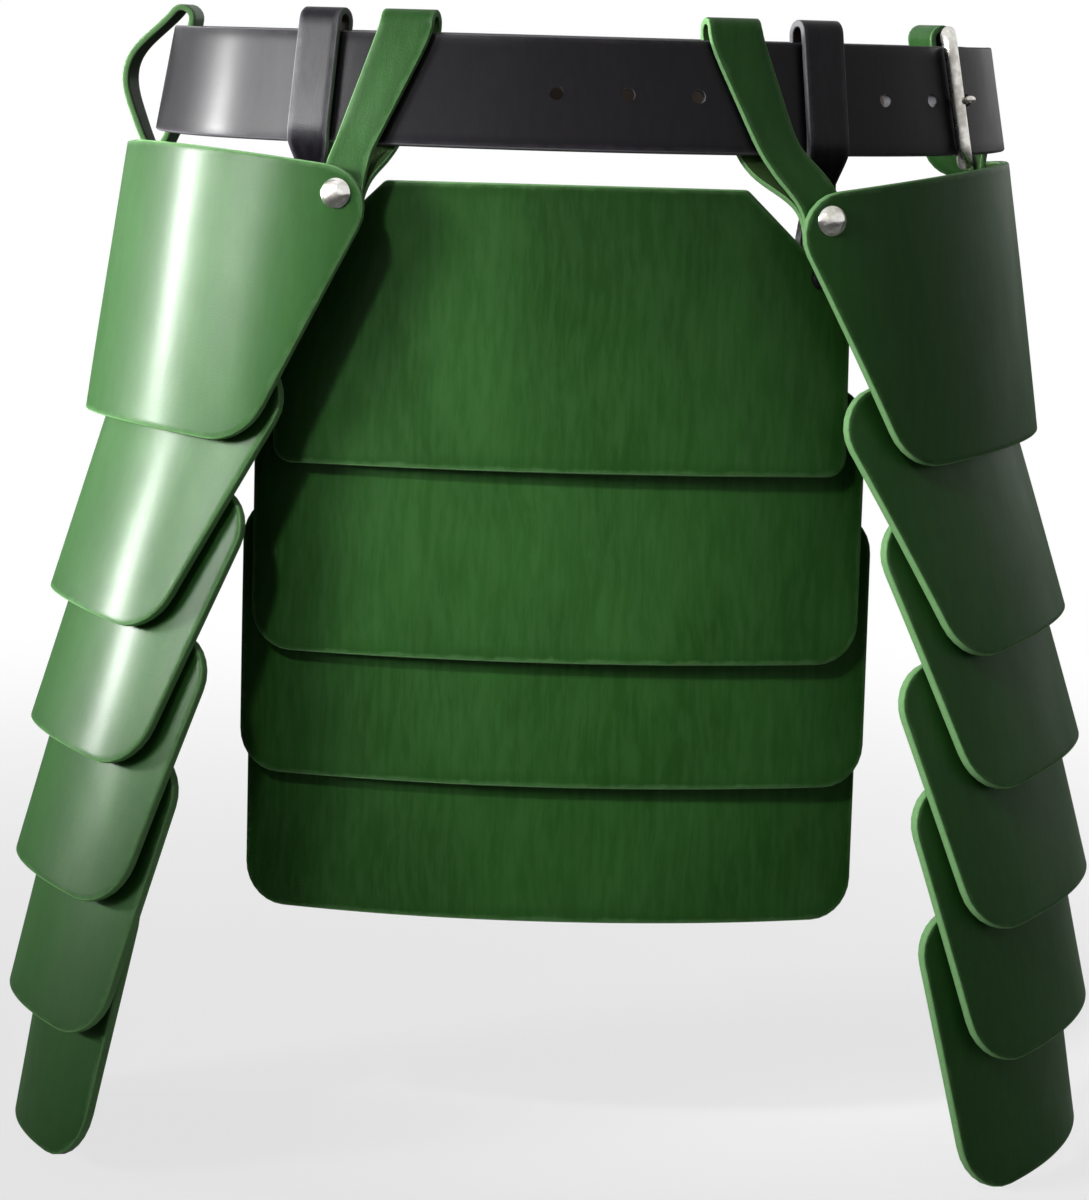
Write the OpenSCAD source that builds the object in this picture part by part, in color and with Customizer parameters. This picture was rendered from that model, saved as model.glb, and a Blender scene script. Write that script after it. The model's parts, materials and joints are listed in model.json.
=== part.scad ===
// Leather armour skirt: a waist belt that carries one front tasset of four lames
// and two side tassets of six lames each, all hung on riveted leather loops.
// Frame: millimetres, Z up, the front at -Y, origin at the centre of the belt ring
// at half the height of the strap. Azimuth is measured from -Y towards +X.

/* [Belt] */
// Height of the belt strap
belt_h = 38; // [30:1:42]
// Thickness of the belt strap
belt_t = 3.5; // [2.5:0.1:4.5]
// Half the width of the belt ring, to the outside of the strap
waist_half_w = 150; // [146:1:156]
// Half the depth of the belt ring, to the outside of the strap
waist_half_d = 113; // [110:1:117]
// Radius of the belt round the hips
hip_r = 95; // [92:1:98]
// How far the lower edge of the belt stands out past its middle
belt_flare = 3.5; // [2:0.5:4]
// Distance between the holes in the strap
hole_pitch = 24.4; // [24:0.1:24.8]
// Diameter of the holes in the strap
hole_d = 4.8; // [4.4:0.1:6]
// Place of the first hole, right of the middle
hole_start = -4.4; // [-6:0.2:-3]
// Azimuth of the end of the strap on its lifted arc
tip_az = 96; // [88:1:100]
// Radius of the corners at the end of the strap
tip_r = 14; // [5:1:18]

/* [Buckle] */
// Azimuth of the bar that the strap end is folded round
heel_az = 73; // [72:0.5:75]
// Distance from that bar to the outer bar of the buckle
buckle_l = 28; // [26:0.5:30]
// Height inside the buckle beyond that of the strap
buckle_room = 2.6; // [2:0.2:6]
// Diameter of the buckle wire
buckle_wire = 5; // [4:0.5:5.5]
// Diameter of the bar inside the fold
heel_bar_d = 4.4; // [3.5:0.1:5]
// Diameter of the prong
prong_d = 2.8; // [2.2:0.1:3.2]
// Thickness of the strap where it is folded
fold_t = 3.2; // [2.6:0.1:3.5]
// Length of the folded flap
fold_l = 30; // [27:1:34]
// Distance of the fold rivets from the bar
fold_rivet_x = 21; // [16:1:23]
// Diameter of the fold rivets
fold_rivet_d = 3; // [2:0.1:4]

/* [Side tassets] */
// Thickness of the lame leather
lame_t = 4; // [3:0.5:4.5]
// Outer radius that the side lames are bent to
lame_r = 111; // [108:1:116]
// Azimuth that the side tassets lean towards
side_az = 74; // [72:1:76]
// Distance of the top lame's lower edge from the belt centre
top_out = 178; // [177.5:0.5:183]
// Height of the top lame's lower edge
top_z = -120.5; // [-126:0.5:-119]
// How far the middle of each side lame is set to the rear
rear_set = 9; // [7:1:11]
// Heights of the six side lames along their slope
lame_h = [99.5, 104, 106, 102, 107, 107]; // [95:1:110]
// Drop of each lower edge below the one above
lame_drop = [66, 48.5, 50.5, 50.5, 50]; // [44:0.5:70]
// Outward lean of the six side lames in degrees
lame_tilt = [9, 18.4, 18.4, 16.4, 13.8, 10]; // [8:0.2:20]
// Gap behind each of the five upper side lames at its lower edge
lame_gap = [4.1, 4.2, 4.8, 5.6, 6.5]; // [2:0.1:8]
// Arc from the middle to the front corner at the top
front_top = [126, 104, 92, 88, 85, 81]; // [75:1:130]
// Arc from the middle to the front corner at the bottom
front_low = [89, 77, 77, 77, 74.5, 72]; // [60:1:95]
// Arc from the middle to the rear corner at the top
rear_top = [72, 68, 64, 60, 58, 56]; // [50:1:80]
// Arc from the middle to the rear corner at the bottom
rear_low = [62, 56, 53, 51, 49, 46]; // [40:1:70]
// Radius of the upper corners
corner_top = 15; // [8:1:18]
// Radius of the lower corners
corner_low = 22; // [8:1:25]
// Turn of each lame of the left set about its own axis
yaw_left = [-5, 0.5, -0.5, 0, 2, 7.5]; // [-8:0.5:8]
// Turn of each lame of the right set about its own axis
yaw_right = [1.5, 1, 1, -1.5, -2, -3.5]; // [-5:0.5:5]
// Sideways swing of the left set and of the right set in degrees
sway = [3, -1]; // [-2:0.5:4]

/* [Front tasset] */
// Radius that the front lames are bent to
front_r = 300; // [280:5:340]
// Distance of the top edge of the front tasset from the belt centre
front_out = 105; // [103:0.5:106]
// Height of the top edge of the front tasset
front_z = -31; // [-34:0.5:-29]
// Height of each front lame along its slope
front_h = 99; // [95:1:104]
// Drop of each lower edge below the one above
front_drop = [67.5, 45.5, 50]; // [42:0.5:70]
// Forward lean of the front lames in degrees
front_tilt = 3; // [2:0.5:4]
// Gap behind each of the upper front lames
front_gap = 1.8; // [1.6:0.1:3]
// Half widths of the four front lames
front_half_w = [103, 110.5, 115, 112.5]; // [100:0.5:118]
// Half width of the top edge of the front tasset
front_neck = 63; // [58:1:68]
// Depth of the ears below the top edge
ear_drop = 22; // [18:1:25]
// Distance of the ears' rivets from the side edge
ear_side = 12; // [10:0.5:14]
// Radius of the lower corners of the top front lame
front_corner_top = 7; // [3:1:12]
// Radius of the lower corners of the other front lames
front_corner_low = 15; // [6:1:20]

/* [Hangers] */
// Thickness of the hanger leather
hanger_t = 2.4; // [2:0.1:2.8]
// Width of the green hangers at the front of the side tassets
green_w = 19; // [14:1:20]
// Width of the black hangers of the front tasset
black_w = 16; // [13:1:17]
// Width of the rear hangers of the side tassets
rear_w = 18; // [14:1:20]
// Width of the hanger ends behind the lames
pad_w = 15; // [12:1:17]
// Azimuth of the green hangers at the top edge of the belt
green_az = 17.4; // [16.8:0.1:18]
// Azimuth of the green hangers at the lower edge of the belt
green_low_az = 22; // [21:0.5:22.5]
// Azimuth of the black hangers
black_az = 27.6; // [27.5:0.1:28.5]
// Azimuth of the rear hangers, left and right
rear_az = [95, 113]; // [94:1:114]
// How far the rear hangers bow out from the belt, left and right
rear_bow = [14, 5]; // [3:1:16]
// How far the loops stand up over the belt
loop_rise = 3; // [1:0.5:4]

/* [Inner leathers] */
// Thickness of the inner leathers
leather_t = 1.6; // [1.2:0.1:2]
// Width of the inner leathers
leather_w = 14; // [10:1:15]

/* [Rivets] */
// Diameter of the rivet shanks
shank_d = 4.4; // [3.5:0.1:5]
// Diameter of the large rivet heads on the top lames
big_head_d = 10.4; // [8:0.2:12]
// Height of the large rivet heads
big_head_h = 3; // [1.5:0.1:4]
// Diameter of the hidden rivet heads
small_head_d = 8.6; // [7:0.2:9]
// Height of the hidden rivet heads
small_head_h = 1.1; // [0.8:0.1:1.3]
// Distance of a top lame's rivet from the side edge
rivet_side = 17; // [15:0.5:19]
// Distance of the other lames' rivets from the side edge, which the lame above covers
rivet_in = 36; // [30:1:38]
// Distance of a rivet from the top edge
rivet_down = 9.5; // [9:0.5:12]
// Clearance round a shank
hole_clear = 0.3; // [0.2:0.05:0.4]

/* [Hidden] */
$fn = 96;

LEFT = 0;
RIGHT = 1;
FRONT = 2;
GREEN = [0.22, 0.40, 0.20];
BLACK = [0.09, 0.08, 0.09];
STEEL = [0.78, 0.79, 0.76];
HIDE = [0.24, 0.18, 0.13];

function total(list, count) = count < 1 ? 0 : list[count - 1] + total(list, count - 1);
function deg(arc, r) = arc / r * 180 / PI;
function heading(az) = [sin(az), -cos(az)];
function flat3(p) = [p.x, p.y, 0];

module side_of(side) {
    mirror([side == LEFT ? 1 : 0, 0, 0]) children();
}
// A shallow cap of a sphere, flat side down.
module dome(d, h) {
    ball = (d * d / 4 + h * h) / (2 * h);
    intersection() {
        translate([0, 0, h - ball]) sphere(r = ball);
        cylinder(d = d, h = h);
    }
}
// A thin cross-section of a strip. The inner one starts a link inside another's end.
module section(w, t) {
    cube([w, t, 0.5], center = true);
}
module inner_section(w, t) {
    cube([w - 0.3, t - 0.15, 0.2], center = true);
}
// One link of a bent strip, from one section to the next.
module link() {
    hull() children();
}

// The belt ring: two hip arcs and two flatter arcs that run into each other.
hip_x = waist_half_w - hip_r;
bulge = waist_half_d - hip_r;
flat_y = (hip_x * hip_x - bulge * bulge) / (2 * bulge);
flat_r = waist_half_d + flat_y;
meet_az = atan2(hip_x, flat_y);
meet_arc = meet_az * PI / 180 * flat_r;
flare_a = atan2(2 * belt_flare, belt_h);
edge_z = belt_h / 2 / cos(flare_a);
// Sits children on the outside of the belt: -Y outward, +Z up the strap, +X to a higher azimuth.
module at_belt(az) {
    near = abs(az) < meet_az;
    translate(near ? [0, flat_y, 0] : [hip_x, 0, 0]) rotate([0, 0, az])
        translate([0, near ? -flat_r : -hip_r, 0]) rotate([-flare_a, 0, 0]) children();
}
// A stretch of strap. Where two stretches meet, one runs on a little and the other is thinner
// by a hair, so that they join cleanly.
hair = 0.05;
run_on = 1;
module strap_arc(r, az_from, az_to, less = 0) {
    rotate([0, 0, az_from - 90]) rotate_extrude(angle = az_to - az_from) polygon([
        [r + belt_flare - belt_t + less, less - belt_h / 2],
        [r + belt_flare - less, less - belt_h / 2],
        [r - belt_flare - less, belt_h / 2 - less],
        [r - belt_flare - belt_t + less, belt_h / 2 - less]
    ]);
}

// The free end of the strap leaves the ring on a wider arc, over the buckle.
lift_az = 40;
lift_r = hip_r + 32.5;
lift_c = [hip_x, 0] + (hip_r - lift_r) * heading(lift_az);
lift_arc = meet_arc + (lift_az - meet_az) * PI / 180 * hip_r;
module at_tip(az) {
    translate(flat3(lift_c)) rotate([0, 0, az]) translate([0, -lift_r, 0])
        rotate([-flare_a, 0, 0]) children();
}
// Sits children on the strap at a distance along it from the middle of the front.
module at_strap(arc) {
    if (arc < meet_arc)
        at_belt(deg(arc, flat_r)) children();
    else if (arc < lift_arc)
        at_belt(meet_az + deg(arc - meet_arc, hip_r)) children();
    else
        at_tip(lift_az + deg(arc - lift_arc, lift_r)) children();
}

// The buckle: its heel bar lies in the fold, its toe bar lies on the lifted strap.
bar_room = 0.2;
fold_out = heel_bar_d / 2 + bar_room + fold_t;
heel_r = hip_r - fold_out;
heel_p = [hip_x, 0] + heel_r * heading(heel_az);
toe_r = lift_r + buckle_wire / 2 + 0.4;
heel_d = heel_p - lift_c;
toe_az = atan2(heel_d.x, -heel_d.y)
    - acos((heel_d * heel_d + toe_r * toe_r - buckle_l * buckle_l) / (2 * norm(heel_d) * toe_r));
toe_p = lift_c + toe_r * heading(toe_az);
buckle_az = atan2(heel_p.y - toe_p.y, heel_p.x - toe_p.x);
module at_heel() {
    translate(flat3(heel_p)) rotate([0, 0, heel_az]) rotate([-flare_a, 0, 0]) children();
}
module at_buckle() {
    at_heel() rotate([0, 0, buckle_az - heel_az]) children();
}
// Places in the plane of the buckle: along it from the heel bar, and outward.
along = [cos(buckle_az), sin(buckle_az)];
outward = heading(buckle_az);
function in_buckle(p) = [(p - heel_p) * along, -(p - heel_p) * outward];
last_hole = 7;
hole_az = lift_az + deg(hole_start + last_hole * hole_pitch - lift_arc, lift_r);
hole_p = lift_c + lift_r * heading(hole_az);
prong_z = -(hole_p - heel_p) * heading(heel_az) * tan(flare_a);

module tip_waste() {
    rotate([90, 0, 0]) linear_extrude(height = 14, center = true) difference() {
        polygon([[-tip_r, edge_z + 3], [-tip_r, edge_z], [0, edge_z - tip_r], [3, edge_z - tip_r],
            [3, edge_z + 3]]);
        translate([-tip_r, edge_z - tip_r]) circle(r = tip_r);
    }
}
flap_a = 5;
module fold() {
    at_heel() {
        cylinder(r = fold_out - 0.15, h = belt_h * 0.98, center = true);
        rotate([0, 0, -flap_a]) translate([0, fold_out - fold_t, -belt_h * 0.47])
            cube([fold_l, fold_t, belt_h * 0.94]);
    }
}
module ring() {
    turn = meet_az - run_on;
    translate([0, flat_y, 0]) strap_arc(flat_r, -meet_az, meet_az, hair);
    translate([0, -flat_y, 0]) strap_arc(flat_r, 180 - meet_az, 180 + meet_az, hair);
    translate([-hip_x, 0, 0]) strap_arc(hip_r, 180 + turn, 360 - turn);
    translate([hip_x, 0, 0]) strap_arc(hip_r, turn, lift_az + run_on);
    translate([hip_x, 0, 0]) strap_arc(hip_r, heel_az, 180 - turn);
}
module belt_strap() color(BLACK) difference() {
    union() {
        difference() {
            union() {
                ring();
                fold();
            }
            at_heel() {
                cylinder(d = heel_bar_d + 2 * bar_room, h = belt_h * 2, center = true);
                translate([-fold_out - 1, -fold_out - 1, prong_z - prong_d / 2 - 2])
                    cube([1.9 * fold_out + 1, 2 * fold_out + 2, prong_d + 4]);
            }
        }
        translate(flat3(lift_c)) strap_arc(lift_r, lift_az, tip_az, hair);
    }
    for (i = [0 : last_hole])
        at_strap(hole_start + i * hole_pitch) rotate([90, 0, 0])
            cylinder(d = hole_d, h = 12, center = true);
    at_tip(tip_az) {
        tip_waste();
        mirror([0, 0, 1]) tip_waste();
    }
    for (z = [-1, 1]) at_fold_rivet(z)
        translate([0, 0, -fold_stack - 2]) cylinder(d = fold_rivet_d + 2 * hole_clear, h = fold_stack + 4);
}

// Rivets of the fold, square to the middle of its two layers.
fold_rivet_z = belt_h / 4;
fold_rivet_a = (asin(fold_rivet_x / hip_r) - flap_a) / 2;
fold_head_d = 1.8 * fold_rivet_d;
fold_face = sqrt(hip_r * hip_r - fold_rivet_x * fold_rivet_x) - heel_r;
fold_stack = fold_face + fold_out - fold_rivet_x * tan(flap_a);
module at_fold_rivet(side) {
    at_heel() translate([fold_rivet_x, -fold_face, side * fold_rivet_z])
        rotate([0, 0, fold_rivet_a]) rotate([90, 0, 0]) children();
}
module fold_rivets() color(STEEL) for (side = [-1, 1]) at_fold_rivet(side) {
    room = 0.45;
    translate([0, 0, -fold_stack - room - 0.4]) cylinder(d = fold_rivet_d, h = fold_stack + 2 * room + 0.8);
    translate([0, 0, room]) dome(fold_head_d, 1);
    translate([0, 0, -fold_stack - room]) mirror([0, 0, 1]) dome(fold_head_d, 1);
}

// Buckle
buckle_half_h = edge_z + buckle_room / 2 + buckle_wire / 2;
module buckle_frame() color(STEEL) at_buckle() {
    cylinder(d = heel_bar_d, h = 2 * buckle_half_h, center = true);
    translate([-buckle_l, 0, 0]) cylinder(d = buckle_wire, h = 2 * buckle_half_h, center = true);
    for (z = [-1, 1]) translate([0, 0, z * buckle_half_h]) {
        rotate([0, -90, 0]) cylinder(d = buckle_wire, h = buckle_l);
        sphere(d = buckle_wire);
        translate([-buckle_l, 0, 0]) sphere(d = buckle_wire);
    }
}
// The prong follows these points from its eye, through the hole and over the toe bar.
eye_room = 0.4;
eye_r = heel_bar_d / 2 + eye_room + 1.8;
prong_over_toe = buckle_wire / 2 + prong_d / 2 + 0.3;
prong_path = [
    [-eye_r + 1, 1],
    in_buckle(hole_p - (belt_t + prong_d / 2 + 0.9) * heading(hole_az)),
    in_buckle(hole_p + (prong_d / 2 + 0.7) * heading(hole_az)),
    [-buckle_l - 0.5, -prong_over_toe],
    [-buckle_l - 3, 1 - prong_over_toe],
];
last_bend = len(prong_path) - 1;
function run(i) = (prong_path[i + 1] - prong_path[i]) / norm(prong_path[i + 1] - prong_path[i]);
function run_to(i) = run(max(i - 1, 0));
function run_from(i) = run(min(i, last_bend - 1));
// The wire's end face at point i, in the mitre of its bend.
module wire_end(i) {
    mitre = run_to(i) + run_from(i);
    translate(flat3(prong_path[i])) rotate([0, 0, atan2(mitre.y, mitre.x)])
        scale([1, 2 / norm(mitre), 1]) rotate([0, 90, 0])
            cylinder(d = prong_d, h = 0.02, center = true, $fn = 14);
}
// A slightly thinner start inside the run that ends at point i.
module wire_start(i) {
    back = run_to(i);
    translate(flat3(prong_path[i] - 0.4 * back)) rotate([0, 0, atan2(back.y, back.x)])
        rotate([0, 90, 0]) cylinder(d = prong_d - 0.1, h = 0.02, center = true, $fn = 14);
}
module prong_run(i) {
    if (i == 0) wire_end(i);
    else wire_start(i);
    wire_end(i + 1);
}
module buckle_prong() color(STEEL) at_buckle() translate([0, 0, prong_z]) {
    difference() {
        union() {
            cylinder(r = eye_r, h = prong_d + 1, center = true);
            link() prong_run(0);
        }
        cylinder(r = heel_bar_d / 2 + eye_room, h = 20, center = true);
    }
    for (i = [1 : last_bend - 1]) link() prong_run(i);
}

// Frames of the side lames. Each lame hangs inside the one above by its thickness and a gap.
function yaw_of(side, k) = side == LEFT ? yaw_left[k - 1] : yaw_right[k - 1];
function lame_z(k) = top_z - total(lame_drop, k - 1);
function lame_out(k) = k == 1 ? top_out
    : lame_out(k - 1) - lame_t / cos(lame_tilt[k - 2]) - lame_gap[k - 2]
        + lame_drop[k - 2] * tan(lame_tilt[k - 1]);
sway_z = -belt_h / 2;
// -Y outward from the lame's lower edge, +Z up its slope, +X to the rear.
module at_lame(side, k) {
    side_of(side) rotate([0, 0, side_az]) translate([rear_set, 0, sway_z])
        rotate([0, sway[side], 0]) translate([0, -lame_out(k), lame_z(k) - sway_z])
            rotate([-lame_tilt[k - 1], 0, 0]) children();
}
module on_lame_axis(side, k) {
    at_lame(side, k) translate([0, lame_r, 0]) rotate([0, 0, yaw_of(side, k)]) children();
}
module on_lame(side, k, arc, h) {
    on_lame_axis(side, k) rotate([0, 0, deg(arc, lame_r)]) translate([0, -lame_r, h]) children();
}
// Rivets sit near the two upper corners: end -1 is the front one, end 1 the rear one.
function rivet_from_side(k) = k == 1 ? rivet_side : rivet_in;
function rivet_arc(k, end) = end < 0 ? rivet_from_side(k) - front_top[k - 1]
    : rear_top[k - 1] - rivet_from_side(k);
function rivet_h(k) = lame_h[k - 1] - rivet_down;
module at_rivet(set, k, end) {
    if (set == FRONT)
        on_front(k, end * front_rivet_arc(k), front_rivet_h(k)) children();
    else
        on_lame(set, k, rivet_arc(k, end), rivet_h(k)) children();
}
// What a rounded corner takes away. The corner is at the origin, one edge runs along +X and
// the other leaves at the angle given. Its round just crosses both edges.
corner_over = 0.6;
module corner_waste(r, angle, up) {
    u = [1, 0];
    v = [cos(angle), up * sin(angle)];
    mid = (u + v) / norm(u + v);
    from = -corner_over * mid;
    reach = r / tan(angle / 2);
    rotate([90, 0, 0]) linear_extrude(height = 40, center = true) difference() {
        polygon([from + reach * u - 2 * v, from + reach * u + 0.2 * r * mid,
            from + reach * v + 0.2 * r * mid, from + reach * v - 4 * u, from - 3 * (u + v)]);
        translate(from + r / sin(angle / 2) * mid) circle(r = r);
    }
}
// What a side edge takes away: the edge slants and both of its corners are round.
module side_waste(side, k, end) {
    top = end < 0 ? front_top[k - 1] : rear_top[k - 1];
    low = end < 0 ? front_low[k - 1] : rear_low[k - 1];
    h = lame_h[k - 1];
    slant = atan2(top - low, h);
    on_lame(side, k, end * (top + low) / 2, h / 2) rotate([0, end * slant, 0])
        translate([end < 0 ? -60 : 0, -20, -h]) cube([60, 80, 2 * h]);
    on_lame(side, k, end * top, h) mirror([end < 0 ? 0 : 1, 0, 0])
        corner_waste(corner_top, 90 - slant, -1);
    on_lame(side, k, end * low, 0) mirror([end < 0 ? 0 : 1, 0, 0])
        corner_waste(corner_low, 90 + slant, 1);
}
module lame(side, k) color(GREEN) difference() {
    from = deg(-front_top[k - 1] - 3, lame_r);
    to = deg(rear_top[k - 1] + 3, lame_r);
    on_lame_axis(side, k) rotate([0, 0, from - 90]) rotate_extrude(angle = to - from)
        translate([lame_r - lame_t, 0]) square([lame_t, lame_h[k - 1]]);
    for (end = [-1, 1]) {
        side_waste(side, k, end);
        at_rivet(side, k, end) rotate([90, 0, 0]) shank_hole();
    }
}
module shank_hole() {
    cylinder(d = shank_d + 2 * hole_clear, h = 30, center = true);
}

// Layers behind a lame at a rivet, as depths from its outer face.
pad_gap = 0.6;
layer_gap = 0.1;
pad_1 = lame_t + pad_gap;
pad_2 = pad_1 + hanger_t + layer_gap;
pad_3 = pad_2 + hanger_t + layer_gap;
function leather_depth(first) = first ? pad_3 : pad_1;
// A rivet from its head on the outer face to its tail behind the last layer.
module rivet(head_d, head_h, depth) {
    tail_h = 0.9;
    back = depth + leather_t + layer_gap;
    rotate([90, 0, 0]) {
        dome(head_d, head_h);
        translate([0, 0, -back - tail_h / 2]) cylinder(d = shank_d, h = back + tail_h);
        translate([0, 0, -back]) mirror([0, 0, 1]) dome(small_head_d - 1, tail_h);
    }
}
module rivets(set, k) color(set == FRONT && k == 1 ? BLACK : STEEL) {
    large = set != FRONT && k == 1;
    for (end = [-1, 1]) at_rivet(set, k, end)
        rivet(large ? big_head_d : small_head_d, large ? big_head_h : small_head_h, leather_depth(k == 1));
}

// An inner leather runs from one lame's rivet to the next one's, past the top edge of that lame.
past_edge = 3;
leather_reach = 5.5;
butt_gap = 0.3;
module leather(set, k, end) difference() {
    depth = leather_depth(k == 1);
    head = k == 1 ? leather_reach : -butt_gap;
    union() {
        at_rivet(set, k, end) translate([-leather_w / 2, depth, -leather_reach])
            cube([leather_w, leather_t, leather_reach + head]);
        link() {
            at_rivet(set, k, end) translate([0, depth + leather_t / 2, 0.3 - leather_reach])
                inner_section(leather_w, leather_t);
            at_rivet(set, k + 1, end) translate([0, pad_1 + leather_t / 2, rivet_down + past_edge - 0.3])
                inner_section(leather_w, leather_t);
        }
        at_rivet(set, k + 1, end) translate([-leather_w / 2, pad_1, 0])
            cube([leather_w, leather_t, rivet_down + past_edge]);
    }
    at_rivet(set, k, end) rotate([90, 0, 0]) shank_hole();
    at_rivet(set, k + 1, end) rotate([90, 0, 0]) shank_hole();
}
module leathers(set, k) color(HIDE) for (end = [-1, 1]) leather(set, k, end);

// The bend of a hanger over the top edge of the belt.
hug = 0.9;
bend_z = edge_z + loop_rise;
outer_y = -hug - hanger_t / 2;
inner_y = belt_t + hug + hanger_t / 2;
module bend(w) {
    translate([0, belt_t / 2, bend_z]) rotate([0, 90, 0]) difference() {
        cylinder(r = belt_t / 2 + hug + hanger_t, h = w, center = true);
        cylinder(r = belt_t / 2 + hug, h = w + 2, center = true);
        translate([0, -20, -w]) cube([20, 40, 2 * w]);
    }
}
// The two ends of a hanger, one behind the other on the back of a lame.
module pads(down, up) {
    for (y = [pad_1, pad_2]) translate([-pad_w / 2, y, -down]) cube([pad_w, hanger_t, down + up]);
}
module pad_top(depth, up) {
    translate([0, depth + hanger_t / 2, up - 0.3]) inner_section(pad_w, hanger_t);
}
pad_down = 6.5;
pad_up = rivet_down - 2;
below_z = -edge_z - 1.5;
// A section of a hanger at the belt, and the same one as the start of the next link.
module belt_section(side, az, y, z, w) {
    side_of(side) at_belt(az) translate([0, y, z]) section(w, hanger_t);
}
module belt_start(side, az, y, z, w) {
    side_of(side) at_belt(az) translate([0, y, z]) inner_section(w, hanger_t);
}

// Green hanger at the front corner of a side tasset.
module green_hanger(side) color(GREEN) difference() {
    low_w = green_w * 0.75;
    low_y = outer_y - 0.8;
    rear_leg_az = green_az + 3;
    union() {
        side_of(side) at_belt(green_az) bend(green_w);
        link() {
            belt_start(side, green_az, outer_y, bend_z + 0.2, green_w);
            belt_section(side, green_low_az, low_y, below_z, low_w);
        }
        link() {
            belt_start(side, green_low_az, low_y, below_z, low_w);
            at_rivet(side, 1, -1) pad_top(pad_1, pad_up);
        }
        link() {
            belt_start(side, green_az, inner_y, bend_z + 0.2, green_w);
            belt_section(side, rear_leg_az, inner_y, below_z, low_w);
        }
        link() {
            belt_start(side, rear_leg_az, inner_y, below_z, low_w);
            at_rivet(side, 1, -1) pad_top(pad_2, pad_up);
        }
        at_rivet(side, 1, -1) pads(pad_down, pad_up);
    }
    at_rivet(side, 1, -1) rotate([90, 0, 0]) shank_hole();
}

// Rear hanger of a side tasset. Its outer leg turns over the lame's top edge and bows out.
edge_turn = hanger_t / 2 + 0.55;
module turned_section(lean, reach, w) {
    translate([0, lame_t, rivet_down]) rotate([lean, 0, 0])
        translate([0, edge_turn, reach]) section(w, hanger_t);
}
module turned_start(lean, reach, w) {
    translate([0, lame_t, rivet_down]) rotate([lean, 0, 0])
        translate([0, edge_turn, reach]) inner_section(w, hanger_t);
}
module rear_hanger(side) color(GREEN) difference() {
    az = rear_az[side];
    bow_y = outer_y - rear_bow[side];
    bow_z = belt_h / 8;
    union() {
        side_of(side) at_belt(az) bend(rear_w);
        link() {
            belt_start(side, az, outer_y, bend_z + 0.2, rear_w);
            belt_section(side, az, bow_y, bow_z, rear_w);
        }
        link() {
            belt_start(side, az, bow_y, bow_z, rear_w);
            belt_section(side, az, bow_y, -bow_z, rear_w - 0.6);
        }
        link() {
            belt_start(side, az, bow_y, -bow_z, rear_w - 0.6);
            at_rivet(side, 1, 1) turned_section(55, 2, pad_w + 0.6);
        }
        link() {
            at_rivet(side, 1, 1) turned_start(55, 2, pad_w + 0.6);
            at_rivet(side, 1, 1) turned_section(25, 0, pad_w + 0.3);
        }
        link() {
            at_rivet(side, 1, 1) turned_start(25, 0, pad_w + 0.3);
            at_rivet(side, 1, 1) pad_top(pad_1, pad_up);
        }
        link() {
            belt_start(side, az, inner_y, bend_z + 0.2, rear_w);
            belt_section(side, az, inner_y, below_z, rear_w);
        }
        link() {
            belt_start(side, az, inner_y, below_z, rear_w);
            at_rivet(side, 1, 1) pad_top(pad_2, pad_up);
        }
        at_rivet(side, 1, 1) pads(pad_down, pad_up);
    }
    at_rivet(side, 1, 1) rotate([90, 0, 0]) shank_hole();
}

// Frames of the front lames.
front_step = lame_t / cos(front_tilt) + front_gap;
function front_low_z(k) = front_z - front_h * cos(front_tilt) - total(front_drop, k - 1);
function front_low_out(k) = front_out + (front_z - front_low_z(k)) * tan(front_tilt)
    - (k - 1) * front_step;
module at_front(k) {
    translate([0, -front_low_out(k), front_low_z(k)]) rotate([-front_tilt, 0, 0]) children();
}
module on_front(k, arc, h) {
    at_front(k) translate([0, front_r, 0]) rotate([0, 0, deg(arc, front_r)])
        translate([0, -front_r, h]) children();
}
ear_rivet = 7.5;
ear_flat = ear_side + 5.5;
function front_rivet_arc(k) = front_half_w[k - 1] - (k == 1 ? ear_side : rivet_side + 1);
function front_rivet_h(k) = front_h - (k == 1 ? ear_drop + ear_rivet : rivet_down);
module front_outline(k) {
    w = front_half_w[k - 1];
    r = k == 1 ? front_corner_top : front_corner_low;
    top = front_h - r;
    if (k == 1)
        polygon([[r - w, 0], [w - r, 0], [w, r], [w - 1, front_h - ear_drop],
            [w - ear_flat, front_h - ear_drop + 1], [front_neck, front_h], [-front_neck, front_h],
            [ear_flat - w, front_h - ear_drop + 1], [1 - w, front_h - ear_drop], [-w, r]]);
    else
        polygon([[r - w, 0], [w - r, 0], [w, r], [w, top], [w - r, front_h],
            [r - w, front_h], [-w, top], [-w, r]]);
    for (x = [r - w, w - r]) {
        translate([x, r]) circle(r = r);
        if (k > 1) translate([x, top]) circle(r = r);
    }
}
module front_lame(k) color(GREEN) difference() {
    intersection() {
        half_a = deg(front_half_w[k - 1] + 6, front_r);
        at_front(k) translate([0, front_r, 0]) rotate([0, 0, -half_a - 90])
            rotate_extrude(angle = 2 * half_a)
                translate([front_r - lame_t, -1]) square([lame_t, front_h + 2]);
        at_front(k) rotate([90, 0, 0]) linear_extrude(height = 100, center = true) front_outline(k);
    }
    for (end = [-1, 1]) at_rivet(FRONT, k, end) rotate([90, 0, 0]) shank_hole();
}

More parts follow.
